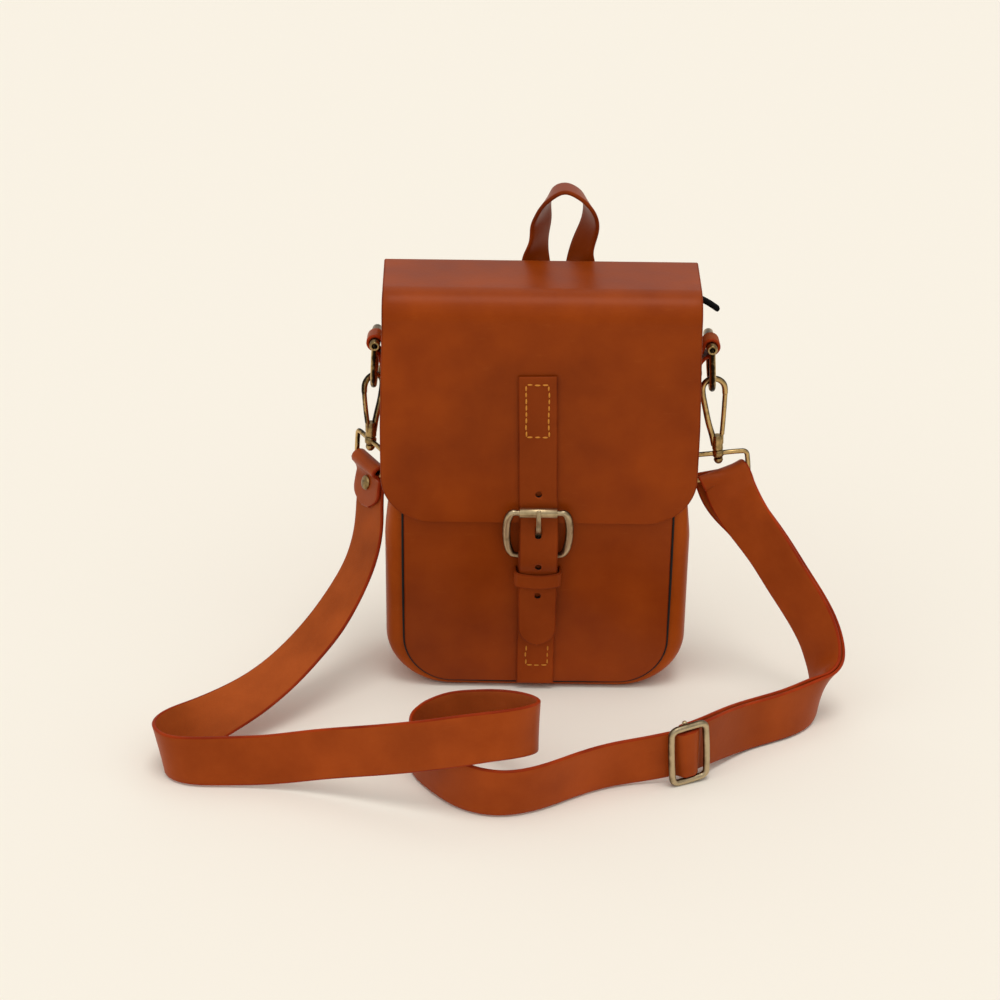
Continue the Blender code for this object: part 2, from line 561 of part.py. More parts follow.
def build_side(name, side, leather, brass):
    """A side tab, its D-ring and the swivel snap hook under it. side is -1 on the left, 1 on the right."""
    bar_x = 105.4 if side > 0 else 102.2
    bar_z = 229.0
    ring_drop = 30.2
    wall = PANEL_WIDTH / 2 + GUSSET_BULGE + GAP

    # Tab: both ends sewn on the gusset, the fold round the D-ring's bar
    reach = RING_BAR_RADIUS + GAP + 1.0
    path = [(wall + 1.0, 205.0), (wall + 1.0, 211.0), (wall + 1.0, 217.0)]
    path += arc((bar_x, bar_z), reach, 176, -50, 10)
    path += [(bar_x - 1.4, bar_z - 6.2), (wall + 4.3, 217.5), (wall + 3.4, 212.0), (wall + 3.3, 205.0)]
    outline = [(side * x, z) for x, z in thick_line(path, 2.0)]
    prism("side_tab_" + name, outline, "y", -TAB_WIDTH / 2, TAB_WIDTH / 2, leather)
    head = [(0, 0), (3.0, 0), (2.8, 0.7), (1.8, 1.3), (0, 1.5)]
    turned("tab_rivet_" + name, head, (side * (wall + 4.3 + GAP), 0, 209.5), brass, (side, 0, 0), 16)

    # D-ring: a hollow-ended bar through the tab and a bow of thinner wire
    slope = 0.075 if side > 0 else 0.055
    pivot = (side * bar_x, 0, bar_z)
    bow = [(13.0, 1.0), (13.4, -8.0), (13.2, -16.0), (11.6, -23.0), (7.4, -28.2), (0.0, -ring_drop)]
    bow += [(-y, z) for y, z in bow[-2::-1]]
    points = [(side * (bar_x - slope * z), y, bar_z + z) for y, z in bow]
    ring = tube("d_ring_" + name, points, 2.0, brass, pivot=pivot)
    profile = [(0, -14.6), (1.7, -14.6), (1.7, -16.0), (RING_BAR_RADIUS, -16.0), (RING_BAR_RADIUS, 16.0)]
    profile += [(1.7, 16.0), (1.7, 14.6), (0, 14.6)]
    combine(ring, [turned("ring_bar_" + name, profile, pivot, brass, (0, 1, 0), 16)], "UNION")

    # Everything under the D-ring shares the stem, which leans inwards, and turns on it
    lean = math.radians(6.6 if side > 0 else 3.5)
    middle = np.array((114.3, 0.0, 153.5)) if side > 0 else np.array((-106.6, 0.0, 159.5))
    stem_way = np.array((-side * math.sin(lean), 0.0, math.cos(lean)))
    outwards = np.array((side * math.cos(lean), 0.0, math.sin(lean)))
    sideways = np.cross(stem_way, outwards)
    turn = math.radians(0.0 if side > 0 else 40.0)
    hook_way = outwards * math.cos(turn) + sideways * math.sin(turn)
    hook_face = np.cross(stem_way, hook_way)

    def spot(u, v, w=0.0):
        """u across the hook, v up its stem and w out of its plane."""
        return middle + u * hook_way + v * stem_way + w * hook_face

    def plate(piece, outline, half):
        outline = anticlockwise(outline)
        count = len(outline)
        shape = [spot(u, v, -half) for u, v in outline] + [spot(u, v, half) for u, v in outline]
        faces = [tuple(reversed(range(count))), tuple(range(count, 2 * count))]
        faces += [(i, (i + 1) % count, count + (i + 1) % count, count + i) for i in range(count)]
        return mesh_object(piece, shape, faces, brass)

    top = bar_z - ring_drop + 2.0 + 1.6 + HOOK_WIRE
    wide = 7.0
    crown = (top - middle[2]) / math.cos(lean) - wide
    limb = [(-2.0, 6.0), (-2.8, 12.0), (-4.4, 20.0), (-6.0, 0.72 * crown), (-6.8, 0.88 * crown), (-wide, crown)]
    line = limb + arc((0, crown), wide, 162, 0, 9) + [(6.9, crown - 3.5)]
    hook = tube("snap_hook_" + name, [spot(u, v) for u, v in line], HOOK_WIRE, brass)
    block_profile = [(0, 2.9), (3.4, 2.9), (3.4, 8.0), (3.0, 12.5), (0, 12.5)]
    block = turned("hook_block_" + name, block_profile, middle, brass, stem_way, 16)
    stem = [(0, 4.0), (1.2, 4.0), (1.2, -2.9), (2.8, -2.9), (3.0, -4.2), (2.3, -5.9), (0, -6.8)]
    shank = turned("hook_shank_" + name, stem, middle, brass, stem_way, 16)
    slot = plate("gate_slot_" + name, [(0.4, 5.0), (6.0, 5.0), (6.0, 14.0), (0.4, 14.0)], 1.5)
    combine(block, [slot])
    combine(hook, [block, shank], "UNION")

    # Gate: a sprung bar hinged in the slot, closing on the tip of the hook
    hinge = (2.4, 7.4)
    bar = [(3.3, 13.0), (5.2, 0.6 * crown), (6.9, crown - 4.0)]
    gate = tube("gate_" + name, [spot(u, v) for u, v in bar], 1.5, brass, pivot=tuple(spot(*hinge)))
    tongue = arc(hinge, 1.5, 170, 370, 8) + [(4.3, 13.6), (2.3, 13.9)]
    combine(gate, [plate("gate_tongue_" + name, tongue, 1.15)], "UNION")

    # Swivel loop: a rectangle of wire whose top bar carries the bored boss
    half_bar, depth, corner = 18.4, 17.6, 2.6
    bar_way = np.array((1.0, 0.0, 0.0)) if side > 0 else np.array((-0.49, 0.872, 0.0))
    bar_way = unit(bar_way - bar_way.dot(stem_way) * stem_way)
    bends = arc((half_bar - corner, -corner), corner, 90, 0, 5)
    bends += arc((half_bar - corner, corner - depth), corner, 0, -90, 5)
    outline = [(0.0, 0.0)] + bends + [(-u, v) for u, v in bends[::-1]]
    points = [middle + u * bar_way + v * stem_way for u, v in outline]
    loop = tube("swivel_loop_" + name, points, 1.6, brass, closed=True, pivot=tuple(middle))
    boss = [(0, -2.5), (2.6, -2.5), (3.7, -1.2), (3.7, 1.4), (2.9, 2.5), (0, 2.5)]
    combine(loop, [turned("loop_boss_" + name, boss, middle, brass, stem_way, 16)], "UNION")
    combine(loop, [turned("loop_bore_" + name, oval(1.55, 6), middle, brass, stem_way, 12)])
    return middle - depth * stem_way, bar_way


def fold_points(centre, axis, rise, radius, start, end, steps):
    """Points round a bar between two angles, measured over its top."""
    face = np.cross(axis, rise)
    angles = np.radians(np.linspace(start, end, steps + 1))
    return [centre - face * radius * math.cos(a) + rise * radius * math.sin(a) for a in angles]


def build_strap(leather, brass, left_bar, right_bar):
    """The strap in one length, from its riveted end over the left loop to the adjuster."""
    knots = spline_through(STRAP_ROUTE, None)
    slider_at = knots[SLIDER_STATION]
    end_at = knots[-1]

    # The first run, from the left fold to the right one, humped where it crosses the adjuster
    near = np.arange(slider_at - 12, slider_at + 12.1, 1.5)
    places = np.concatenate([np.linspace(2, near[0] - 3, 150), near, np.linspace(near[-1] + 3, end_at - 1, 52)])
    run, _, run_across, run_face = strap_frames(places)
    ease = np.clip((9.0 - np.abs(places - slider_at)) / 6.0, 0, 1)
    run = run + run_face * (HUMP * ease**2 * (3 - 2 * ease))[:, None]

    # The riveted end in front of it, and the left fold
    tip, _, tip_across, tip_face = strap_frames([27.0, 24.0, 20.0, 15.0, 10.0, 7.5, 5.0])
    tip = tip - tip_face * np.array([2.8, 2.8, 2.8, 2.8, 2.8, 2.9, 4.6])[:, None]
    centre, axis = left_bar
    rise = unit(np.array((0.0, 0.0, 1.0)) - axis[2] * axis)
    left_fold = fold_points(centre, axis, rise, 4.5, 0, 180, 8)

    # The right fold and the layer that returns behind the first run to the adjuster
    centre, _ = right_bar
    skew = math.radians(12.0)
    right_axis = np.array((math.cos(skew), 0.0, math.sin(skew)))
    rise = np.array((-0.19, 0.40, 0.90))
    rise = unit(rise - rise.dot(right_axis) * right_axis)
    right_fold = fold_points(centre, right_axis, rise, 4.8, 0, 180, 10)
    places = np.linspace(end_at - 5, slider_at + 6, 50)
    layer, _, layer_across, layer_face = strap_frames(places)
    share = (places - slider_at) / (end_at - slider_at)
    apart = LAYER_GAP + 5.2 * np.clip((share - 0.55) / 0.45, 0, 1) ** 1.5
    layer = layer - layer_face * apart[:, None]

    # The inner end is turned round the adjuster's middle bar
    hub, along, across, face = (row[0] for row in strap_frames([slider_at]))
    turn = []
    for angle in np.radians(np.linspace(-90, -290, 10)):
        turn.append(hub - 0.95 * face + 3.15 * (math.cos(angle) * along + math.sin(angle) * face))

    middle = np.vstack([tip, left_fold, run, right_fold, layer, turn])
    ways = [tip_across, [axis] * len(left_fold), run_across, [right_axis] * len(right_fold), layer_across]
    ways.append([across] * len(turn))
    widths = [10.0, 22.0, 29.0] + [STRAP_WIDTH] * (len(middle) - 3)
    ribbon("shoulder_strap", middle, np.vstack(ways), widths, STRAP_THICKNESS, leather)

    # Rivet through the doubled left end
    spot, _, _, out = (row[0] for row in strap_frames([12.5]))
    head = [(0, 0), (4.6, 0), (4.4, 0.9), (3.2, 1.6), (0, 1.8)]
    turned("strap_rivet", head, spot - (2.8 + STRAP_THICKNESS / 2 + GAP) * out, brass, -out, 20)
    return hub, along, across, face


def build_adjuster(brass, hub, along, across, face):
    """The tri-glide: a rounded frame in front of the strap with a bar behind its hump."""
    corners = arc((7.4, 14.8), 4.0, 90, 0, 5) + arc((7.4, -14.8), 4.0, 0, -90, 5)
    outline = corners + [(-a, w) for a, w in corners[::-1]]
    points = [hub + a * along + w * across + SLIDER_LIFT * face for a, w in outline]
    tube("slider_frame", points, 2.1, brass, closed=True, pivot=tuple(hub))
    bar = hub - 0.95 * face
    tube("slider_bar", [bar - 19.0 * across, bar + 19.0 * across], 1.6, brass, pivot=tuple(bar))


def main():
    clear_scene()
    leather = material("brown leather", (0.33, 0.10, 0.035), 0.45)
    strap_leather = material("strap leather", (0.38, 0.12, 0.05), 0.5)
    dark = material("black zip tape", (0.01, 0.01, 0.01), 0.8)
    brass = material("antique brass", (0.30, 0.21, 0.10), 0.35, 1.0)
    satin = material("satin brass", (0.55, 0.45, 0.28), 0.4, 1.0)
    build_body(leather, dark)
    build_zip(dark, brass)
    front_axis = build_flap(leather)
    build_closure(leather, front_axis)
    build_buckle(leather, brass, satin)
    build_haul_loop(leather)
    left_bar = build_side("left", -1, leather, brass)
    right_bar = build_side("right", 1, leather, brass)
    hub, along, across, face = build_strap(strap_leather, brass, left_bar, right_bar)
    build_adjuster(brass, hub, along, across, face)


main()
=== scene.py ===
import math

import bpy
import numpy as np
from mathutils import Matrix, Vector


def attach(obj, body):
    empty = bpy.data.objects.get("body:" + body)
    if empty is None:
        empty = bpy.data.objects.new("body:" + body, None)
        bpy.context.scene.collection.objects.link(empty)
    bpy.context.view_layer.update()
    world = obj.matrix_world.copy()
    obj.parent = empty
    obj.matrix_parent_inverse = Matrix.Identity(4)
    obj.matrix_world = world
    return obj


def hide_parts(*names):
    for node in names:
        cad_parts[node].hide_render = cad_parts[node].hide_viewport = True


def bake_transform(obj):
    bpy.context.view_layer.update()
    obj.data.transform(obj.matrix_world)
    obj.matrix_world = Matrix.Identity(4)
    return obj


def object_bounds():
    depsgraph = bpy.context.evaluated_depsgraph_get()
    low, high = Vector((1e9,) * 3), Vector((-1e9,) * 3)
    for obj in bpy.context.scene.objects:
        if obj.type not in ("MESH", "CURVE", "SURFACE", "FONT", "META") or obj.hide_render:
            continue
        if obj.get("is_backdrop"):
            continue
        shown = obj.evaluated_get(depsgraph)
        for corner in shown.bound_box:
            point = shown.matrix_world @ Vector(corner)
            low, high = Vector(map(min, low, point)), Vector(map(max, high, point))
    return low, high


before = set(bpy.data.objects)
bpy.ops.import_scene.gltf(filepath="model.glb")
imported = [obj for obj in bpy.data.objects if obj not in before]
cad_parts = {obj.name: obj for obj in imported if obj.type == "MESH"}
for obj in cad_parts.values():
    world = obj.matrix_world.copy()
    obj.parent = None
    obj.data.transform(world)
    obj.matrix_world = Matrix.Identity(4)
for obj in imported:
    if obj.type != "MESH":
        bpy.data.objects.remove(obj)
cadLow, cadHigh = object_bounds()
noise = np.random.default_rng(11)
mm = 0.001


# A part is its points in mm, its faces, a material number for each face and a grain place for each point


def unit(vectors):
    return vectors / np.linalg.norm(vectors, axis=-1, keepdims=True)


def distances(line):
    return np.concatenate([[0], np.cumsum(np.linalg.norm(np.diff(line, axis=0), axis=1))])


def arc(centre, radius, start, end, steps):
    angles = np.radians(np.linspace(start, end, steps + 1))
    return [(centre[0] + radius * math.cos(a), centre[1] + radius * math.sin(a)) for a in angles]


def splineThrough(rows, places=None):
    rows = np.array(rows, float)
    chord = np.linalg.norm(np.diff(rows[:, :3], axis=0), axis=1)
    knots = np.concatenate([[0], np.cumsum(chord)])
    if places is None:
        return knots
    count = len(rows)
    system = np.eye(count)
    wanted = np.zeros_like(rows)
    for i in range(1, count - 1):
        system[i, i - 1 : i + 2] = chord[i - 1], 2 * (chord[i - 1] + chord[i]), chord[i]
        wanted[i] = 6 * ((rows[i + 1] - rows[i]) / chord[i] - (rows[i] - rows[i - 1]) / chord[i - 1])
    bend = np.linalg.solve(system, wanted)
    places = np.asarray(places, float)
    i = np.clip(np.searchsorted(knots, places, side="right") - 1, 0, count - 2)
    width = chord[i][:, None]
    after = (places - knots[i])[:, None]
    before = width - after
    cubic = (bend[i] * before**3 + bend[i + 1] * after**3) / (6 * width)
    line = (rows[i] / width - bend[i] * width / 6) * before
    return cubic + line + (rows[i + 1] / width - bend[i + 1] * width / 6) * after


def smoothLine(rows, step):
    knots = splineThrough(rows)
    return splineThrough(rows, np.linspace(0, knots[-1], max(3, int(knots[-1] / step) + 1)))


# A strip with rounded edges. Its face is along x across
def band(middle, across, widths, thickness, columns=8, grain=0, edge=1, flesh=2, capRound=True):
    middle = np.array(middle, float)
    across = unit(np.broadcast_to(np.array(across, float), middle.shape))
    along = unit(np.gradient(middle, axis=0))
    across = unit(across - (across * along).sum(1)[:, None] * along)
    face = np.cross(along, across)
    widths = np.broadcast_to(np.array(widths, float), (len(middle),)).copy()
    thick = np.full(len(middle), float(thickness))
    if capRound:
        first = middle[0] - along[0] * np.array([[0.42], [0.3]]) * thickness
        last = middle[-1] + along[-1] * np.array([[0.3], [0.42]]) * thickness
        middle = np.vstack([first, middle, last])
        across = np.vstack([across[:1], across[:1], across, across[-1:], across[-1:]])
        face = np.vstack([face[:1], face[:1], face, face[-1:], face[-1:]])
        widths = np.concatenate([widths[:1] - thickness * 0.7, widths[:1] - thickness * 0.2, widths,
                                 widths[-1:] - thickness * 0.2, widths[-1:] - thickness * 0.7])
        thick = np.concatenate([[thickness * 0.35, thickness * 0.8], thick, [thickness * 0.8, thickness * 0.35]])
    turn = np.radians([60, 35, 12, -12, -35, -60])
    top = np.linspace(1, -1, columns + 1)
    section = [(t, 1.0, 0.0) for t in -top]
    section += [(1.0, math.sin(a), math.cos(a)) for a in turn]
    section += [(t, -1.0, 0.0) for t in top]
    section += [(-1.0, -math.sin(a), math.cos(a)) for a in turn]
    kinds = [grain] * columns + [edge] * (len(turn) + 1) + [flesh] * columns + [edge] * (len(turn) + 1)
    bulge = thick[:, None] * 0.45
    points = []
    for t, high, out in section:
        side = t * (widths[:, None] / 2 - bulge) + (out * bulge if t > 0 else -out * bulge)
        points.append(middle + across * side + face * high * thick[:, None] / 2)
    size = len(section)
    shape = np.stack(points, axis=1).reshape(-1, 3)
    length = distances(middle)
    around = distances(np.array(points)[:, len(middle) // 2])
    places = np.stack(np.meshgrid(length, around, indexing="ij"), axis=-1).reshape(-1, 2)
    faces, kindOf = [], []
    for i in range(len(middle) - 1):
        for k in range(size):
            n = (k + 1) % size
            a, b = i * size, (i + 1) * size
            faces.append((a + k, b + k, b + n, a + n))
            kindOf.append(kinds[k])
    faces.append(tuple(range(size)))
    faces.append(tuple(reversed(range((len(middle) - 1) * size, len(middle) * size))))
    return shape, faces, kindOf + [edge, edge], places


# A round bar along the points. radius is one number or one per point
def tube(points, radius, closed=False, sides=20, kind=0, flat=None):
    line = np.array(points, float)
    count = len(line)
    if closed:
        along = unit(np.roll(line, -1, axis=0) - np.roll(line, 1, axis=0))
    else:
        along = unit(np.gradient(line, axis=0))
    if flat is None:
        flat = np.linalg.svd(line - line.mean(axis=0))[2][2] if count > 2 else np.cross(along[0], (0.3, 0.5, 0.8))
    side = unit(np.cross(along, flat))
    up = np.cross(side, along)
    radii = np.broadcast_to(np.array(radius, float), (count,))[:, None]
    if not closed:
        tips = [(0.45, 0.85), (0.8, 0.45)]
        for reach, shrink in tips:
            near = radii[0] * (0.25 if shrink > 0.5 else 0.4)
            line = np.vstack([line[0] - along[0] * near, line, line[-1] + along[-1] * near])
            side, up = np.vstack([side[:1], side, side[-1:]]), np.vstack([up[:1], up, up[-1:]])
            along = np.vstack([along[:1], along, along[-1:]])
            first, last = radii[0] * shrink, radii[-1] * shrink
            if shrink < 0.5:
                first, last = radii[1] * shrink, radii[-2] * shrink
            radii = np.vstack([first, radii, last])
        count = len(line)
    rings = []
    for k in range(sides):
        angle = 2 * math.pi * k / sides
        rings.append(line + (side * math.cos(angle) + up * math.sin(angle)) * radii)
    shape = np.stack(rings, axis=1).reshape(-1, 3)
    length = distances(line)
    around = np.arange(sides) * 2 * math.pi * float(radii.mean()) / sides
    places = np.stack(np.meshgrid(length, around, indexing="ij"), axis=-1).reshape(-1, 2)
    faces = []
    for i in range(count if closed else count - 1):
        here, there = i * sides, (i + 1) % count * sides
        for k in range(sides):
            n = (k + 1) % sides
            faces.append((here + k, there + k, there + n, here + n))
    if not closed:
        faces.append(tuple(range(sides)))
        faces.append(tuple(reversed(range((count - 1) * sides, count * sides))))
    # Painted light for the brass, per point: near 1, a painted highlight, on the sides turned out of the bar's
    # flat plane; near 0.08, painted shade, on the sides in that plane
    angles = 2 * math.pi * np.arange(sides) / sides
    paintedLight = np.tile(0.08 + 0.92 * np.abs(np.sin(angles)) ** 1.6, count)
    return shape, faces, [kind] * len(faces), places, paintedLight


# A solid of revolution from a profile of (radius, height) going up its outside
def turned(profile, centre, axis=(0, 0, 1), steps=32, kind=0):
    axis = unit(np.array(axis, float))
    side = unit(np.cross((1.0, 0.0, 0.0) if abs(axis[0]) < 0.9 else (0.0, 1.0, 0.0), axis))
    up = np.cross(axis, side)
    size = len(profile)
    points, places = [], []
    for step in range(steps):
        angle = 2 * math.pi * step / steps
        away = side * math.cos(angle) + up * math.sin(angle)
        for radius, height in profile:
            points.append(centre + max(radius, 0.001) * away + height * axis)
            places.append((angle * 3, height))
    faces = []
    for step in range(steps):
        here, there = step * size, (step + 1) % steps * size
        for i in range(size - 1):
            faces.append((here + i, there + i, there + i + 1, here + i + 1))
    faces.append(tuple(reversed([step * size for step in range(steps)])))
    faces.append(tuple([step * size + size - 1 for step in range(steps)]))
    return np.array(points), faces, [kind] * len(faces), np.array(places)


# A plate from an outline of (y, z), (x, z) or (x, y) pairs, with softly rounded rims
def slab(outline, axis, start, end, edge=0.4, kind=0, rim=None):
    order = {"x": (1, 2, 0), "y": (0, 2, 1), "z": (0, 1, 2)}[axis]
    pairs = np.array(outline, float)
    following = np.roll(pairs, -1, axis=0)
    if (pairs[:, 0] * following[:, 1] - following[:, 0] * pairs[:, 1]).sum() < 0:
        pairs = pairs[::-1]
    before, after = unit(pairs - np.roll(pairs, 1, axis=0)), unit(np.roll(pairs, -1, axis=0) - pairs)
    inwards = unit(before + after)
    inwards = np.column_stack([-inwards[:, 1], inwards[:, 0]])
    levels = [(start, edge), (start + edge * 0.3, edge * 0.3), (start + edge, 0.0),
              (end - edge, 0.0), (end - edge * 0.3, edge * 0.3), (end, edge)]
    count = len(pairs)
    points = np.zeros((len(levels) * count, 3))
    for i, (level, inset) in enumerate(levels):
        rows = slice(i * count, (i + 1) * count)
        points[rows, order[0]] = pairs[:, 0] + inwards[:, 0] * inset
        points[rows, order[1]] = pairs[:, 1] + inwards[:, 1] * inset
        points[rows, order[2]] = level
    faces, kinds = [], []
    for i in range(len(levels) - 1):
        for k in range(count):
            n = (k + 1) % count
            faces.append((i * count + k, i * count + n, (i + 1) * count + n, (i + 1) * count + k))
            kinds.append(kind if rim is None else rim)
    faces.append(tuple(reversed(range(count))))
    faces.append(tuple(range((len(levels) - 1) * count, len(levels) * count)))
    if axis == "y":
        faces = [face[::-1] for face in faces]
    return points, faces, kinds + [kind, kind], points[:, list(order[:2])]


# Short rounded thread ends laid along the path, their faces turned up
def stitches(path, up, pitch=3.2, length=2.5, width=0.42, lift=0.12):
    path = np.array(path, float)
    lengths = distances(path)
    count = max(1, int(round(lengths[-1] / pitch)))
    parts = []
    up = unit(np.array(up, float))
    for i in range(count):
        places = (i + 0.5) * lengths[-1] / count + length * np.linspace(-0.5, 0.5, 5)
        line = np.column_stack([np.interp(places, lengths, path[:, k]) for k in range(3)])
        line = line + up * (lift - np.array([0.55, 0.1, 0.0, 0.1, 0.55])[:, None] * 0.6)
        skew = noise.normal(0, 0.14, 3)
        parts.append(tube(line + skew, [width * s for s in (0.7, 1.0, 1.05, 1.0, 0.7)], sides=6, flat=up))
    return parts


# Builds one object from parts, sets its materials and lets it ride its body
def piece(name, parts, materials, body=None, replaced=(), smooth=45):
    points, faces, kinds, places, paintedLights, start = [], [], [], [], [], 0
    for shape, partFaces, partKinds, partPlaces, *paintedLight in parts:
        local = np.array(shape, float)
        # Parts without their own painted highlight and shade get a middle value
        paintedLights.append(paintedLight[0] if paintedLight else np.full(len(local), 0.6))
        points.append(local)
        places.append(np.array(partPlaces, float))
        faces += [tuple(start + v for v in face) for face in partFaces]
        kinds += list(partKinds)
        start += len(local)
    points, places = np.vstack(points) * mm, np.vstack(places) * mm
    mesh = bpy.data.meshes.new(name)
    mesh.from_pydata(points.tolist(), [], faces)
    mesh.attributes.new("PaintedLight", "FLOAT", "POINT").data.foreach_set("value", np.concatenate(paintedLights))
    layer = mesh.uv_layers.new(name="Grain")
    loops = np.empty(len(mesh.loops), np.int32)
    mesh.loops.foreach_get("vertex_index", loops)
    layer.data.foreach_set("uv", places[loops].ravel())
    for made in materials:
        mesh.materials.append(made)
    mesh.polygons.foreach_set("material_index", np.array(kinds, np.int32))
    mesh.shade_smooth()
    mesh.set_sharp_from_angle(angle=math.radians(smooth))
    obj = bpy.data.objects.new(name, mesh)
    bpy.context.scene.collection.objects.link(obj)
    bpy.ops.object.select_all(action="DESELECT")
    obj.select_set(True)
    bpy.context.view_layer.objects.active = obj
    bpy.ops.object.mode_set(mode="EDIT")
    bpy.ops.mesh.select_all(action="SELECT")
    bpy.ops.mesh.normals_make_consistent(inside=False)
    bpy.ops.object.mode_set(mode="OBJECT")
    if body:
        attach(obj, body)
    if replaced:
        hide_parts(*replaced)
    return obj


def newMaterial(name):
    made = bpy.data.materials.new(name)
    made.use_nodes = True
    return made, made.node_tree.nodes, made.node_tree.links, made.node_tree.nodes["Principled BSDF"]


# A shader node with its inputs set
def addNode(nodes, kind, values=None):
    node = nodes.new("ShaderNode" + kind)
    for key, value in (values or {}).items():
        node.inputs[key].default_value = value
    return node


def darkToLight(nodes, values, spread):
    ramp = nodes.new("ShaderNodeValToRGB")
    for i, name in enumerate(("dark", "light")):
        ramp.color_ramp.elements[i].position = spread[i]
        ramp.color_ramp.elements[i].color = (*values[name], 1)
    return ramp


# Colour blotches, wide clouds, hair-fine scratches and the height of the grain
def leatherMaps():
    group = bpy.data.node_groups.new("leatherMaps", "ShaderNodeTree")
    nodes, links = group.nodes, group.links
    group.interface.new_socket("Vector", in_out="INPUT", socket_type="NodeSocketVector")
    for title in ("Blotch", "Cloud", "Scratch", "Height"):
        group.interface.new_socket(title, in_out="OUTPUT", socket_type="NodeSocketFloat")
    inner, outer = nodes.new("NodeGroupInput"), nodes.new("NodeGroupOutput")
    blotch = addNode(nodes, "TexNoise", {"Scale": 28, "Detail": 5, "Roughness": 0.6})
    cloud = addNode(nodes, "TexNoise", {"Scale": 7, "Detail": 3})
    stretch = addNode(nodes, "Mapping", {"Scale": (60, 700, 300), "Rotation": (0.3, 0.5, 0.9)})
    scratch = addNode(nodes, "TexNoise", {"Scale": 1, "Detail": 4, "Roughness": 0.7})
    sharpen = addNode(nodes, "MapRange", {"From Min": 0.62, "From Max": 0.78})
    pores = addNode(nodes, "TexVoronoi", {"Scale": 1500})
    pores.feature = "SMOOTH_F1"
    fine = addNode(nodes, "TexNoise", {"Scale": 420, "Detail": 4})
    both = nodes.new("ShaderNodeMath")
    both.operation = "MULTIPLY_ADD"
    both.inputs[1].default_value = 0.6
    for node in (blotch, cloud, pores, fine):
        links.new(inner.outputs["Vector"], node.inputs["Vector"])
    links.new(inner.outputs["Vector"], stretch.inputs["Vector"])
    links.new(stretch.outputs["Vector"], scratch.inputs["Vector"])
    links.new(scratch.outputs["Fac"], sharpen.inputs["Value"])
    links.new(pores.outputs["Distance"], both.inputs[0])
    links.new(fine.outputs["Fac"], both.inputs[2])
    links.new(blotch.outputs["Fac"], outer.inputs["Blotch"])
    links.new(cloud.outputs["Fac"], outer.inputs["Cloud"])
    links.new(sharpen.outputs["Result"], outer.inputs["Scratch"])
    links.new(both.outputs["Value"], outer.inputs["Height"])
    return group


leatherGroup = leatherMaps()


def leather(name, values, coords="Object"):
    made, nodes, links, shader = newMaterial(name)
    place = nodes.new("ShaderNodeTexCoord")
    maps = nodes.new("ShaderNodeGroup")
    maps.node_tree = leatherGroup
    links.new(place.outputs[coords], maps.inputs["Vector"])
    ramp = darkToLight(nodes, values, (0.3, 0.7))
    links.new(maps.outputs["Blotch"], ramp.inputs["Fac"])
    tint = nodes.new("ShaderNodeMix")
    tint.data_type = "RGBA"
    tint.blend_type = "MULTIPLY"
    tint.inputs["Factor"].default_value = 1
    shade = addNode(nodes, "MapRange", {"From Min": 0.35, "From Max": 0.65, "To Min": 0.86, "To Max": 1.1})
    links.new(maps.outputs["Cloud"], shade.inputs["Value"])
    links.new(ramp.outputs["Color"], tint.inputs["A"])
    links.new(shade.outputs["Result"], tint.inputs["B"])
    mark = nodes.new("ShaderNodeMix")
    mark.data_type = "RGBA"
    mark.inputs["B"].default_value = (*values["mark"], 1)
    faint = nodes.new("ShaderNodeMath")
    faint.operation = "MULTIPLY"
    faint.inputs[1].default_value = values["marks"]
    links.new(maps.outputs["Scratch"], faint.inputs[0])
    links.new(faint.outputs["Value"], mark.inputs["Factor"])
    links.new(tint.outputs["Result"], mark.inputs["A"])
    links.new(mark.outputs["Result"], shader.inputs["Base Color"])
    rough = addNode(nodes, "MapRange", {"To Min": values["rough"] - 0.06, "To Max": values["rough"] + 0.1})
    links.new(maps.outputs["Blotch"], rough.inputs["Value"])
    links.new(rough.outputs["Result"], shader.inputs["Roughness"])
    shader.inputs["Specular IOR Level"].default_value = values["specular"]
    shader.inputs["Specular Tint"].default_value = (1.0, 0.5, 0.38, 1)
    bump = addNode(nodes, "Bump", {"Strength": values["bump"], "Distance": 0.00025})
    links.new(maps.outputs["Height"], bump.inputs["Height"])
    links.new(bump.outputs["Normal"], shader.inputs["Normal"])
    return made


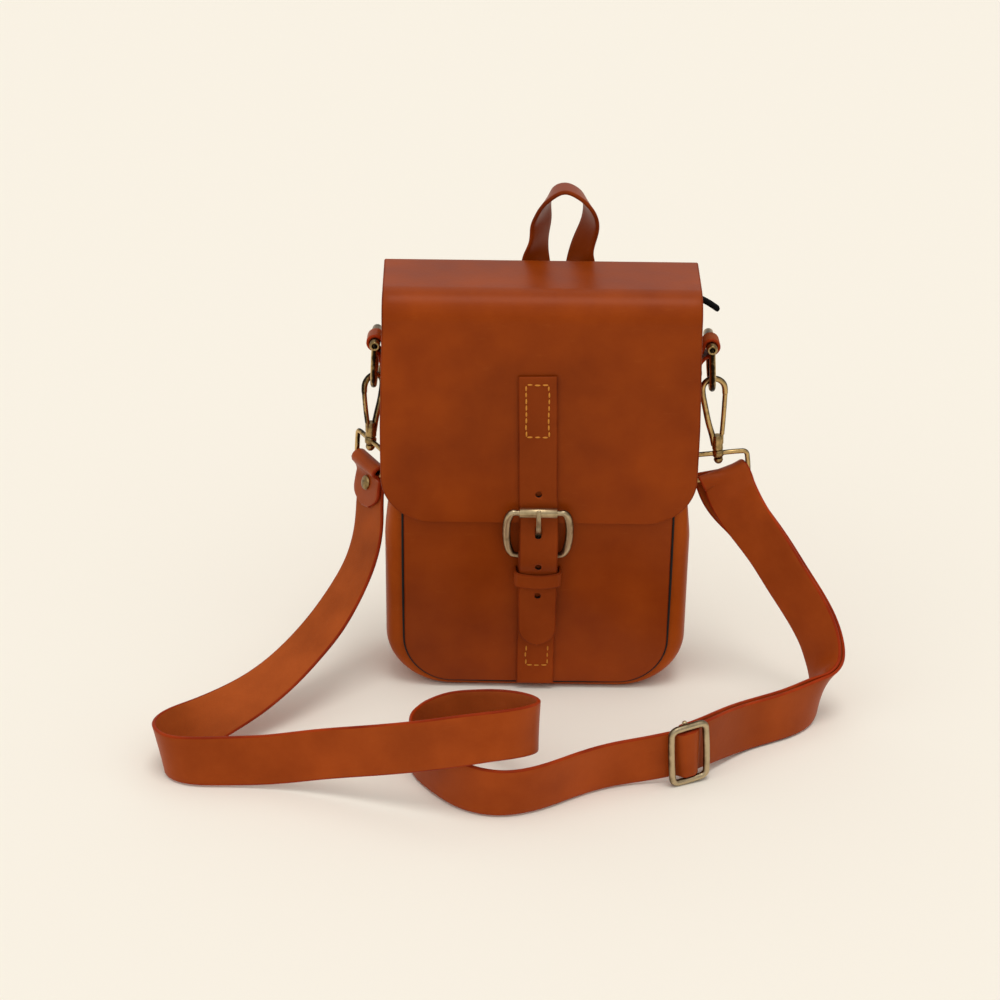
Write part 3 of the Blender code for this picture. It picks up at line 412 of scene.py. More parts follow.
# Brass with random dark patches, plus painted light: a painted highlight along the faces of each bar turned out of
# its loop's plane and painted shade along its sides in that plane, read from a per-point attribute
def metal(name, values):
    made, nodes, links, shader = newMaterial(name)
    place = nodes.new("ShaderNodeTexCoord")
    patches = addNode(nodes, "TexNoise", {"Scale": values["patch"], "Detail": 5, "Roughness": 0.65})
    links.new(place.outputs["Object"], patches.inputs["Vector"])
    ramp = darkToLight(nodes, values, values["spread"])
    # The per-point painted highlight and shade, weighted and added to the patches
    paintedLightNode = nodes.new("ShaderNodeAttribute")
    paintedLightNode.attribute_name = "PaintedLight"
    both = nodes.new("ShaderNodeMath")
    both.operation = "MULTIPLY_ADD"
    both.inputs[1].default_value = values["paintedLight"]
    links.new(paintedLightNode.outputs["Fac"], both.inputs[0])
    links.new(patches.outputs["Fac"], both.inputs[2])
    links.new(both.outputs["Value"], ramp.inputs["Fac"])
    links.new(ramp.outputs["Color"], shader.inputs["Base Color"])
    shader.inputs["Metallic"].default_value = 1
    rough = addNode(nodes, "MapRange", {"To Min": values["rough"] + 0.12, "To Max": values["rough"] - 0.05})
    links.new(patches.outputs["Fac"], rough.inputs["Value"])
    links.new(rough.outputs["Result"], shader.inputs["Roughness"])
    fine = addNode(nodes, "TexNoise", {"Scale": 1800})
    links.new(place.outputs["Object"], fine.inputs["Vector"])
    bump = addNode(nodes, "Bump", {"Strength": 0.15, "Distance": 0.0001})
    links.new(fine.outputs["Fac"], bump.inputs["Height"])
    links.new(bump.outputs["Normal"], shader.inputs["Normal"])
    return made


def plainMaterial(name, colour, roughness, specular=0.3):
    made, nodes, links, shader = newMaterial(name)
    shader.inputs["Base Color"].default_value = (*colour, 1)
    shader.inputs["Roughness"].default_value = roughness
    shader.inputs["Specular IOR Level"].default_value = specular
    return made


bodyLeather = leather("bodyLeather", {
    "dark": (0.243, 0.034, 0.0011), "light": (0.312, 0.049, 0.002), "mark": (0.46, 0.11, 0.02), "marks": 0.16,
    "rough": 0.36, "specular": 0.24, "bump": 0.2,
})
# The gusset's leather: the body leather made lighter, painting the light that falls on the gusset
litSideLeather = leather("litSideLeather", {
    "dark": (0.33, 0.052, 0.002), "light": (0.42, 0.075, 0.0035), "mark": (0.5, 0.14, 0.03), "marks": 0.2,
    "rough": 0.38, "specular": 0.2, "bump": 0.22,
})
closureLeather = leather("closureLeather", {
    "dark": (0.25, 0.039, 0.004), "light": (0.31, 0.052, 0.006), "mark": (0.42, 0.10, 0.02), "marks": 0.12,
    "rough": 0.42, "specular": 0.14, "bump": 0.25,
})
strapLeather = leather("strapLeather", {
    "dark": (0.30, 0.047, 0.005), "light": (0.385, 0.066, 0.008), "mark": (0.48, 0.12, 0.03), "marks": 0.15,
    "rough": 0.38, "specular": 0.15, "bump": 0.22,
}, "UV")
fleshLeather = leather("fleshLeather", {
    "dark": (0.31, 0.058, 0.009), "light": (0.41, 0.082, 0.014), "mark": (0.48, 0.13, 0.04), "marks": 0.25,
    "rough": 0.60, "specular": 0.12, "bump": 0.45,
}, "UV")
edgeLeather = leather("edgeLeather", {
    "dark": (0.22, 0.016, 0.003), "light": (0.40, 0.045, 0.005), "mark": (0.5, 0.1, 0.02), "marks": 0.1,
    "rough": 0.45, "specular": 0.15, "bump": 0.3,
})
# Edge leather for the rims of the body pieces, flap, loops and closure straps: the edges' own colour, darkened to
# paint the shade along these rims
shadedEdge = leather("shadedEdge", {
    "dark": (0.15, 0.018, 0.002), "light": (0.30, 0.045, 0.004), "mark": (0.5, 0.12, 0.02), "marks": 0.3,
    "rough": 0.5, "specular": 0.12, "bump": 0.3,
})
# In each brass the last value weighs the painted highlight and shade against the patches
antiqueBrass = metal("antiqueBrass", {
    "dark": (0.014, 0.009, 0.005), "light": (0.56, 0.37, 0.15), "spread": (0.62, 1.12),
    "patch": 130, "rough": 0.26, "paintedLight": 0.55,
})
paleBrass = metal("paleBrass", {
    "dark": (0.10, 0.07, 0.035), "light": (0.52, 0.41, 0.25), "spread": (0.5, 1.05),
    "patch": 150, "rough": 0.3, "paintedLight": 0.55,
})
satinBrass = metal("satinBrass", {
    "dark": (0.34, 0.25, 0.13), "light": (0.56, 0.43, 0.25), "spread": (0.5, 0.9),
    "patch": 160, "rough": 0.32, "paintedLight": 0.4,
})
# Near-black painted shade, for the groove round the front panel, the walls of the punched holes and the recessed
# ends of the D-ring bars
paintedShade = plainMaterial("paintedShade", (0.006, 0.005, 0.004), 0.7)
zipTape = plainMaterial("zipTape", (0.003, 0.003, 0.003), 0.9, 0.1)
thread = plainMaterial("thread", (0.62, 0.24, 0.03), 0.6, 0.2)
leathers = [bodyLeather, shadedEdge, bodyLeather]
closureLooks = [closureLeather, shadedEdge, closureLeather]
print("materials ready")


# Panels, gusset, top facings and zip tapes

sizes = {
    "panelWidth": 169.0, "panelBottom": 4.8, "panelCorner": 31.0, "frontTop": 257.0, "backTop": 263.0,
    "depth": 68.4, "leather": 2.2, "bulge": 10.0, "belly": 2.5, "gussetTop": 250.0, "gap": 0.3,
}
half = sizes["panelWidth"] / 2
front = -sizes["depth"] / 2
back = -front - 1.0
bottom = sizes["panelBottom"] + sizes["panelCorner"]
side = half - sizes["panelCorner"]


def panelOutline(top):
    right = arc((side, bottom), sizes["panelCorner"], 0, -90, 24)
    left = [(-x, z) for x, z in right[::-1]]
    return [(half, top), (half, 150.0), *right, *left, (-half, 150.0), (-half, top)]


# A thin near-black tube along the front panel's rim paints the shade in the gap between panel and gusset
grooveLine = [(x * 1.004, front + 1.1, z) for x, z in panelOutline(sizes["frontTop"])]
groove = tube(smoothLine(grooveLine[1:-1], 3.0), 0.75, sides=8, kind=2, flat=(0, 1, 0))
panelShape = slab(panelOutline(sizes["frontTop"]), "y", front, front + sizes["leather"], 0.7, 0, 1)
piece("frontPanel", [panelShape, groove], [bodyLeather, shadedEdge, paintedShade], "bag", ["front_panel"])
piece("backPanel", [slab(panelOutline(sizes["backTop"]), "y", back - sizes["leather"], back, 0.6, 0, 1)],
      leathers, "bag", ["back_panel"])

# The gusset is one band bent round the sides and the bottom
edgeY = sizes["depth"] / 2 - sizes["leather"] - sizes["gap"] - 0.5
shoulder = [(edgeY, 0.2), (edgeY - 0.4, 4.2), (edgeY - 2.6, 7.6), (edgeY - 7.5, 9.6), (edgeY - 13.0, 10.0)]
outerRows = [(-y, d, 0) for y, d in shoulder] + [(y, d, 0) for y, d in shoulder[::-1]]
outerProfile = smoothLine(outerRows, 2.0)[:, :2]
innerProfile = np.column_stack([outerProfile[::-1, 0] * (edgeY - 2.2) / edgeY, outerProfile[::-1, 1]])
sideHeights = np.linspace(sizes["gussetTop"], bottom, 44)
gussetRoute = [(-half, z) for z in sideHeights] + arc((-side, bottom), sizes["panelCorner"], 180, 270, 20)[1:]
gussetRoute += [(x, sizes["panelBottom"]) for x in np.linspace(-side, side, 16)[1:-1]]
gussetRoute += arc((side, bottom), sizes["panelCorner"], 270, 360, 20) + [(half, z) for z in sideHeights[::-1][1:]]
gussetPoints, gussetFaces, gussetKinds, gussetPlaces = [], [], [], []
outerCount = len(outerProfile)
for i, (x, z) in enumerate(gussetRoute):
    away = unit(np.array([x - max(-side, min(side, x)), z - max(bottom, z)]))
    belly = sizes["bulge"] + sizes["belly"] * max(0.0, min(1.0, (130.0 - z) / 22.0))
    bulge = belly * away[0] ** 2 + sizes["panelBottom"] * away[1] ** 2
    for k, (y, d) in enumerate(np.vstack([outerProfile, innerProfile])):
        fuller = 1 - 0.55 * away[1] ** 2
        reach = bulge * (max(d, 0.0) / sizes["bulge"]) ** fuller - (sizes["leather"] if k >= outerCount else 0)
        gussetPoints.append((x + away[0] * reach, y - 0.5, z + away[1] * reach))
        gussetPlaces.append((y, i * 4.0))
gussetSize = outerCount * 2
for i in range(len(gussetRoute) - 1):
    for k in range(gussetSize):
        a, b = gussetSize * i + k, gussetSize * i + (k + 1) % gussetSize
        gussetFaces.append((b, a, a + gussetSize, b + gussetSize))
        gussetKinds.append(1 if k in (outerCount - 1, gussetSize - 1) else 0)
lastRing = gussetSize * (len(gussetRoute) - 1)
gussetFaces += [tuple(range(gussetSize)), tuple(reversed(range(lastRing, lastRing + gussetSize)))]
piece("gusset", [(np.array(gussetPoints), gussetFaces, gussetKinds + [1, 1], np.array(gussetPlaces))],
      [litSideLeather, shadedEdge, litSideLeather], "bag", ["gusset"])


def blockOutline(a, b):
    return [(a[0], a[1]), (b[0], a[1]), (b[0], b[1]), (a[0], b[1])]


topping = {"facingHalf": 81, "facing": (254.6, 256.8), "opening": 6.5,
           "tapeHalf": 88, "tape": (253.4, 254.3), "tapeNear": 2.6, "tapeFar": 14}
innerFront, innerBack = front + 2.5, back - 2.5
facingHalf, tapeHalf, opening = topping["facingHalf"], topping["tapeHalf"], topping["opening"]
near, far = topping["tapeNear"], topping["tapeFar"]
piece("facingFront", [slab(blockOutline((-facingHalf, innerFront), (facingHalf, -opening)), "z",
                           *topping["facing"], 0.5, 0, 1)],
      leathers, "bag", ["top_facing_front"])
piece("facingBack", [slab(blockOutline((-facingHalf, opening), (facingHalf, innerBack)), "z",
                          *topping["facing"], 0.5, 0, 1)],
      leathers, "bag", ["top_facing_back"])
piece("tapeFront", [slab(blockOutline((-tapeHalf, -far), (tapeHalf, -near)), "z", *topping["tape"], 0.2)],
      [zipTape], "bag", ["zip_tape_front"])
piece("tapeBack", [slab(blockOutline((-tapeHalf, near), (tapeHalf, far)), "z", *topping["tape"], 0.2)],
      [zipTape], "bag", ["zip_tape_back"])

zipper = {"teeth": 86, "pitch": 2.0, "stagger": 0.5, "half": 86, "sliderX": 66.0}
teeth = []
for i in range(zipper["teeth"]):
    x = -85.0 + zipper["pitch"] * i
    lean = zipper["stagger"] if i % 2 else -zipper["stagger"]
    teeth.append(slab(blockOutline((x - 0.62, -1.7 + lean), (x + 0.62, 1.7 + lean)), "z", 253.6, 255.5, 0.25))
teeth.append(slab(blockOutline((-zipper["half"], -2.1), (zipper["half"], 2.1)), "z", 253.3, 254.0, 0.1))
piece("zipTeeth", teeth, [antiqueBrass], "bag", ["zip_teeth"])
tailLine = [(90.0, 0, 258.6), (93.0, 0, 258.6), (96.5, 0, 257.6), (101.0, 0, 255.6), (108.4, 0, 250.9)]
tailRows = smoothLine(tailLine, 0.8)
piece("zipTail", [band(tailRows, (0, 1, 0), 6.4, 3.2, 6, grain=0, edge=0, flesh=0)],
      [zipTape], "bag", ["zip_tail"])
saddle = [slab([(-5.0, 256.0), (5.0, 256.0), (5.0, 257.1), (-5.0, 257.1)], "x", 60.6, 71.4, 0.4)]
for start, end in ((61.2, 64.6), (67.4, 70.8)):
    saddle.append(slab([(-1.3, 257.0), (1.3, 257.0), (1.3, 260.1), (-1.3, 260.1)], "x", start, end, 0.4))
saddle.append(slab([(-1.3, 259.1), (1.3, 259.1), (1.3, 260.2), (-1.3, 260.2)], "x", 61.6, 70.4, 0.3))
piece("zipSlider", saddle, [antiqueBrass], "zip_slider", ["zip_slider"])
sliderX = zipper["sliderX"]
pullerPoints = [(sliderX, -2.9, 258.2), (sliderX, 2.9, 258.2)]
pullerPoints += [(sliderX - u, v, 258.2) for v, u in arc((0, 19.1), 2.9, 0, 180, 12)]
piece("zipPuller", [tube(pullerPoints, 0.6, True, 12)], [antiqueBrass], "zip_puller", ["zip_puller"])

# The flap is two sheets that part on its flat top, each holding one of its two bends

flap = {
    "width": 197.0, "thickness": 2.4, "top": 270.0, "front": -38.2, "back": 35.9, "bottom": 121.0,
    "corner": 30.0, "frontBend": 18.0, "backBend": 6.0, "hem": 236.0, "waist": 193.0,
}
inner = flap["thickness"] / 2
frontCentre = (flap["front"] + flap["frontBend"], flap["top"] - flap["frontBend"])
backCentre = (flap["back"] - flap["backBend"], flap["top"] - flap["backBend"])
seam = -10.0


# The flap draws in a little over its front bend
def flapWidth(y, z):
    near = (36.0 - y) / 60.0 if z > 262.0 else (z - 185.0) / 65.0
    return flap["width"] - (flap["width"] - flap["waist"]) * max(0.0, min(1.0, near))


rearLine = [(flap["back"] - inner, z) for z in np.linspace(flap["hem"], 262.0, 8)]
rearLine += arc(backCentre, flap["backBend"] - inner, 0, 90, 14)
rearLine += [(y, flap["top"] - inner) for y in np.linspace(27.0, seam, 12)]
frontLine = [(y, flap["top"] - inner) for y in np.linspace(seam, frontCentre[0] + 2, 5)]
frontLine += arc(frontCentre, flap["frontBend"] - inner, 90, 180, 30)
frontLine += [(flap["front"] + inner, z) for z in np.linspace(249.0, 152.0, 36)]
frontWidths = [flapWidth(y, z) for y, z in frontLine]
cornerCentre = (flap["width"] / 2 - flap["corner"], flap["bottom"] + flap["corner"])
for x, z in arc(cornerCentre, flap["corner"], 0, -90, 24)[1:]:
    frontLine.append((flap["front"] + inner, z))
    frontWidths.append(2 * x)


def flapSheet(line, widths, openStart, openEnd):
    middle = [(0.0, y, z) for y, z in line]
    made = band(middle, (-1, 0, 0), widths, flap["thickness"], 40, capRound=False)
    points, faces, kinds, places = made
    keep = [True] * len(faces)
    if openStart:
        keep[-2] = False
    if openEnd:
        keep[-1] = False
    faces = [f for f, kept in zip(faces, keep) if kept]
    kinds = [k for k, kept in zip(kinds, keep) if kept]
    return points, faces, kinds, places


rearWidths = [flapWidth(y, z) if z > 262.0 else flap["width"] for y, z in rearLine]
rear = piece("flapRear", [flapSheet(rearLine, rearWidths, False, True)], leathers)
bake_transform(rear)
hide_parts("flap_hem", "flap_top")
frontSheet = piece("flapFront", [flapSheet(frontLine, frontWidths, True, False)], leathers)
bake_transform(frontSheet)
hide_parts("flap_front")

# Closure strap with its free end, and the anchor strap that holds the buckle

closure = {"width": 24.2, "thickness": 2.0, "pitch": 22.0, "heel": (-38.4, 98.5), "roller": (-44.4, 130.8)}
onFlap = flap["front"] - 0.3 - 1.0
tongue = [
    (onFlap, 134.7), (onFlap, 130.0), (-39.9, 125.0), (-41.2, 118.5), (-42.6, 112.0), (-43.7, 105.0),
    (-44.2, 98.5), (-43.9, 94.0), (-42.7, 90.0), (-41.3, 86.5), (-40.5, 83.0), (-40.3, 78.0),
    (-40.1, 72.0), (-39.9, 64.0), (-39.6, 56.0), (-39.5, 47.5),
]
upper = [(0.0, onFlap, z) for z in np.linspace(219.0, 146.0, 26)]
lower = smoothLine([(0.6, y, z) for y, z in tongue], 1.6)
lower[:, 0] = 0.6 * np.clip((140.0 - lower[:, 2]) / 8.0, 0, 1)
strapLine = np.vstack([upper, [(0.0, onFlap, z) for z in np.linspace(144.0, 136.0, 5)], lower])
strapLine[:, 0] -= 1.9 * np.clip((strapLine[:, 2] - 125.0) / 94.0, 0, 1)
strapWidths = [closure["width"]] * len(strapLine)
for step in range(1, 15):
    angle = math.radians(6 * step)
    strapLine = np.vstack([strapLine, [(0.6, -39.5, 47.5 - closure["width"] / 2 * math.sin(angle))]])
    strapWidths.append(closure["width"] * math.cos(angle))
closureShape = band(strapLine, (-1, 0, 0), strapWidths, closure["thickness"], 8)
drilled = [closureLeather, shadedEdge, closureLeather, paintedShade]


# Cuts closed shapes out of a piece. The walls of the holes take the last material, near-black painted shade
def drill(obj, cutters):
    made = piece(obj.name + "Cutter", cutters, drilled)
    modifier = obj.modifiers.new("Holes", "BOOLEAN")
    modifier.object = made
    modifier.solver = "EXACT"
    bpy.ops.object.select_all(action="DESELECT")
    obj.select_set(True)
    bpy.context.view_layer.objects.active = obj
    bpy.ops.object.modifier_apply(modifier="Holes")
    bpy.data.objects.remove(made)


closureObject = piece("closureStrap", [closureShape], drilled)
holePlaces = [(0.0, onFlap, 141.5), (0.6, -42.3, 93.0), (0.6, -39.9, 93.0 - closure["pitch"])]
cutters = [turned([(2.0, -6), (2.0, 6)], np.array(place), (0, 1, 0), 24, 3) for place in holePlaces]
slotOutline = [(-0.9, 112.4), (-1.8, 113.4), (-1.8, 118.6), (-0.9, 120.2),
               (1.3, 120.2), (2.2, 118.6), (2.2, 113.4), (1.3, 112.4)]
cutters.append(slab(slotOutline, "y", -50, -36, 0.1, 3))
drill(closureObject, cutters)
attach(closureObject, "flap_front")
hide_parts("closure_strap", "closure_tail")

boxTop, boxBottom, boxSide = 214.6, 180.2, 7.0
threadY = onFlap - 1.0
corners = [(-boxSide - 2, threadY, boxTop), (boxSide - 2, threadY, boxTop), (boxSide - 1.4, threadY, boxBottom),
           (-boxSide - 1.4, threadY, boxBottom)]
boxThreads = []
for i in range(4):
    boxThreads += stitches(np.array([corners[i], corners[(i + 1) % 4]]), (0, -1, 0), 4.3, 3.0, 0.55)
piece("closureThread", boxThreads, [thread], "flap_front")

onPanel = front - 0.3
anchorBack = onPanel - 1.0
heelY, heelZ = closure["heel"]
wrap = anchorBack - heelY
anchor = [(anchorBack, z) for z in np.linspace(5.2, 94.0, 30)]
anchor += arc((heelY, heelZ), wrap, 0, 180, 16)
anchor += [(heelY - wrap + 0.1, 94.5), (-40.0, 90.0), (anchorBack - 2.4, 85.0), (anchorBack - 2.3, 70.0)]
anchorShape = band([(0.0, y, z) for y, z in anchor], (-1, 0, 0), closure["width"], closure["thickness"], 6)
anchorObject = piece("anchorStrap", [anchorShape], drilled)
drill(anchorObject, [slab(blockOutline((-2.8, heelZ - 5.0), (2.8, heelZ + 7.0)), "y", -47, -30, 0.1, 3)])
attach(anchorObject, "bag")
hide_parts("buckle_strap")
lowThreads = []
threadY = anchorBack - 1.0
corners = [(7.8, threadY, 33.0), (7.8, threadY, 18.2), (-6.2, threadY, 18.2), (-6.2, threadY, 33.0)]
for i in range(3):
    lowThreads += stitches(np.array([corners[i], corners[i + 1]]), (0, -1, 0), 4.3, 3.0, 0.5)
piece("anchorThread", lowThreads, [thread], "bag")

keeperFront = -44.7 + 0.85
keeperLine = [(-14.8, onPanel), (-14.8, -38.0), (-14.8, keeperFront + 2.6)]
keeperLine += arc((-12.2, keeperFront + 2.6), 2.6, 180, 270, 8)
keeperLine += [(x, keeperFront) for x in np.linspace(-10.0, 10.0, 9)]
keeperLine += arc((12.2, keeperFront + 2.6), 2.6, 270, 360, 8)
keeperLine += [(14.8, -38.0), (14.8, onPanel)]
keeperRows = [(0.3 + x * 0.96, y, 84.2 - 2.2 * (1 - (x / 15) ** 2)) for x, y in keeperLine]
piece("keeper", [band(keeperRows, (0, 0, 1), 9.6, 1.75, 6)], closureLooks, "bag", ["keeper"])

rollerY, rollerZ = closure["roller"]
arm = [(12.6, 0.0), (15.8, 0.04), (18.3, 0.18), (19.6, 0.42), (19.7, 0.68), (18.4, 0.90), (16.0, 1.0), (13.6, 1.0)]
loop = [(0.0, 0.0)] + arm + [(0.0, 1.0)] + [(-x, t) for x, t in arm[::-1]] + [(0.0, 0.0)]
rows = smoothLine([(x, heelY + (rollerY - heelY) * t, heelZ + (rollerZ - heelZ) * t) for x, t in loop], 1.0)[:-1]
wide = 1.7 + 0.85 * np.clip((np.abs(rows[:, 0]) - 13.5) / 5.0, 0, 1)
piece("buckleFrame", [tube(rows, wide, True, 20)], [paleBrass], "buckle_frame", ["buckle_frame"])
sleeve = [(1.9, -11.8), (2.7, -11.8), (3.1, -11.4), (3.1, 11.4), (2.7, 11.8), (1.9, 11.8)]
piece("buckleRoller", [turned(sleeve, np.array((0.0, rollerY, rollerZ)), (1, 0, 0), 40)], [satinBrass],
      "buckle_roller", ["buckle_roller"])
curl = 1.6 + 0.3 + 0.65
prongLine = arc((heelY, heelZ), curl, -160, 100, 24)
prongLine += [(-39.9, 103.4), (-40.0, 108.0), (-40.6, 112.0), (-43.4, 116.2),
              (-46.6, 120.4), (-48.2, 125.0), (-48.6, 129.5), (-48.3, 133.6)]
prongRows = smoothLine([(0.2, y, z) for y, z in prongLine], 0.8)
prongWidths = np.interp(np.arange(len(prongRows)), [0, len(prongRows) - 22, len(prongRows) - 1], [3.5, 3.6, 2.6])
piece("buckleProng", [band(prongRows, (-1, 0, 0), prongWidths, 1.4, 4, grain=0, edge=0, flesh=0)], [paleBrass],
      "buckle_prong", ["buckle_prong"])
print("body, flap and buckle ready")

loopLeft = [
    (-3.4, 37.5, 238, 0), (-3.4, 38.2, 252, 2), (-3.2, 40.8, 262, 18),
    (-2.8, 43.5, 270, 38), (-1.5, 44.4, 280, 54), (-0.4, 43.4, 291, 52),
    (0.7, 41.6, 299, 64), (3.4, 40.2, 306.5, 78), (8.0, 39.3, 312, 90),
    (13.8, 39.0, 314.3, 90),
]
loopRight = [
    (20.2, 39.3, 312.3, 90), (26.6, 40.2, 306.8, 84), (30.2, 41.6, 299, 71),
    (30.4, 43.4, 290, 60), (27.5, 44.4, 280, 52), (25.2, 43.5, 270, 40),
    (25.0, 40.8, 262, 18), (25.2, 38.2, 252, 2), (25.2, 37.5, 238, 0),
]
haul = {"width": 20.0, "thickness": 2.6}
loopRows = []
for turnSide, found in ((-1, loopLeft), (1, loopRight)):
    for x, y, z, turn in found:
        angle = math.radians(turn)
        loopRows.append((x, y, z, turnSide * math.cos(angle), -math.sin(angle), 0))
loopRows = smoothLine(loopRows, 1.6)
piece("haulLoop", [band(loopRows[:, :3], loopRows[:, 3:], haul["width"], haul["thickness"], 8)], leathers,
      "bag", ["haul_loop"])


fitting = {"barZ": 229.0, "drop": 30.2, "bar": 3.2, "wire": 1.9, "crown": 7.0, "tab": 13.5}
sideOf = {
    "left": {"side": -1, "barX": 102.2, "slope": 0.055, "lean": 3.5, "turn": 40.0,
             "swivel": (-106.6, 0.0, 159.5), "bar": (-0.49, 0.872, 0.0)},
    "right": {"side": 1, "barX": 105.4, "slope": 0.075, "lean": 6.6, "turn": 0.0,
              "swivel": (114.3, 0.0, 153.5), "bar": (1.0, 0.0, 0.0)},
}


def sideFittings(name):
    own = sideOf[name]
    side, barX = own["side"], own["barX"]
    barZ, drop, bar = fitting["barZ"], fitting["drop"], fitting["bar"]
    wall = half + sizes["bulge"] + 0.3
    reach = bar + 0.3 + 1.0
    path = [(wall + 1.0, 205.0), (wall + 1.0, 211.0), (wall + 1.0, 217.0)]
    path += arc((barX, barZ), reach, 176, -50, 22)
    path += [(barX - 1.4, barZ - 6.2), (wall + 4.3, 217.5), (wall + 3.4, 212.0), (wall + 3.3, 205.0)]
    rows = smoothLine([(side * x, -4.0, z) for x, z in path], 1.0)
    piece("sideTab." + name, [band(rows, (0, -1, 0), fitting["tab"], 2.0, 6)],
          [strapLeather, edgeLeather, fleshLeather], "bag", ["side_tab_" + name])
    dome = [(3.0, 0.0), (3.0, 0.35), (2.7, 0.8), (2.0, 1.2), (1.1, 1.45), (0.0, 1.55)]
    piece("tabRivet." + name, [turned(dome, np.array((side * (wall + 4.6), -4.0, 209.5)), (side, 0, 0), 28)],
          [antiqueBrass], "bag", ["tab_rivet_" + name])

    slope = own["slope"]
    bow = [(13.0, 1.0), (13.4, -8.0), (13.2, -16.0), (11.6, -23.0), (7.4, -28.2), (0.0, -drop)]
    bow += [(-y, z) for y, z in bow[-2::-1]]
    rows = smoothLine([(side * (barX - slope * z), y, barZ + z) for y, z in bow], 1.2)
    pivot = np.array((side * barX, 0.0, barZ))
    parts = [tube(rows, 2.0, sides=20)]
    for end in (-1, 1):
        rim = [(bar, 0.0), (bar, 15.4), (bar - 0.5, 16.0), (bar - 1.3, 16.0),
               (bar - 1.6, 15.6), (bar - 1.7, 14.0), (0.0, 13.9)]
        solid = turned(rim, pivot, (0, end, 0), 28)
        # The recessed centre of each bar end takes the second material, near-black painted shade
        kinds = list(solid[2])
        for step in range(28):
            kinds[step * 6 + 4] = kinds[step * 6 + 5] = 1
        parts.append((solid[0], solid[1], kinds, solid[3]))
    piece("dRing." + name, parts, [antiqueBrass, paintedShade], "d_ring_" + name, ["d_ring_" + name])

    lean = math.radians(own["lean"])
    middle = np.array(own["swivel"])
    stemWay = np.array((-side * math.sin(lean), 0.0, math.cos(lean)))
    outwards = np.array((side * math.cos(lean), 0.0, math.sin(lean)))
    sideways = np.cross(stemWay, outwards)
    turn = math.radians(own["turn"])
    hookWay = outwards * math.cos(turn) + sideways * math.sin(turn)
    hookFace = np.cross(stemWay, hookWay)

    def spot(u, v, w=0.0):
        return middle + u * hookWay + v * stemWay + w * hookFace

    def plate(outline, thick):
        shape, faces, kinds, places = slab(outline, "z", -thick, thick, 0.3)
        return np.array([spot(*p) for p in shape]), faces, kinds, places

    wire, wide = fitting["wire"], fitting["crown"]
    top = barZ - drop + 2.0 + 1.6 + wire
    crown = (top - middle[2]) / math.cos(lean) - wide
    limb = [(-2.0, 6.0), (-2.8, 12.0), (-4.4, 20.0), (-6.0, 0.72 * crown), (-6.8, 0.88 * crown), (-wide, crown)]
    line = limb + arc((0, crown), wide, 162, 0, 9) + [(6.9, crown - 3.5)]
    rows = smoothLine([spot(u, v) for u, v in line], 0.8)
    share = np.linspace(0, 1, len(rows))
    thick = np.interp(share, [0, 0.15, 0.5, 0.9, 1], [2.1, 1.95, 1.9, 1.9, 1.8])
    parts = [tube(rows, thick, sides=20)]
    block = [(3.0, 2.9), (3.5, 3.3), (3.5, 8.0), (3.2, 12.0), (2.7, 12.6)]
    parts.append(turned(block, middle, stemWay, 28))
    stem = [(0.6, -7.0), (1.7, -6.6), (2.5, -5.7), (3.0, -4.4), (2.8, -3.1), (2.4, -2.9), (1.2, -2.8), (1.2, 4.0)]
    parts.append(turned(stem, middle, stemWay, 28))
    piece("snapHook." + name, parts, [antiqueBrass], "snap_hook_" + name, ["snap_hook_" + name])
    hinge = (2.4, 7.4)
    gateRows = smoothLine([spot(u, v) for u, v in [(3.3, 13.0), (5.2, 0.6 * crown), (6.9, crown - 4.0)]], 1.2)
    gateParts = [tube(gateRows, 1.55, sides=16)]
    gateParts.append(plate(arc(hinge, 1.5, 170, 370, 12) + [(4.3, 13.6), (2.3, 13.9)], 1.15))
    piece("gate." + name, gateParts, [antiqueBrass], "gate_" + name, ["gate_" + name])

    halfBar, depth, corner = 18.4, 17.6, 2.6
    barWay = np.array(own["bar"])
    barWay = unit(barWay - barWay.dot(stemWay) * stemWay)
    bends = arc((halfBar - corner, -corner), corner, 90, 0, 8)
    bends += arc((halfBar - corner, corner - depth), corner, 0, -90, 8)
    outline = [(0.0, 0.0)] + bends + [(0.0, -depth)] + [(-u, v) for u, v in bends[::-1]]
    rows = smoothLine([middle + u * barWay + v * stemWay for u, v in outline + outline[:1]], 1.0)[:-1]
    parts = [tube(rows, 1.6, True, 18)]
    boss = [(2.2, -2.5), (2.8, -2.4), (3.7, -1.3), (3.75, 0.0), (3.7, 1.4), (3.0, 2.4), (2.2, 2.5)]
    parts.append(turned(boss, middle, stemWay, 28))
    piece("swivelLoop." + name, parts, [antiqueBrass], "bag", ["swivel_loop_" + name])
    return middle - depth * stemWay, barWay


leftBar = sideFittings("left")
rightBar = sideFittings("right")

# Shoulder strap, end to end: middle point (x, y, z) and the direction across its width

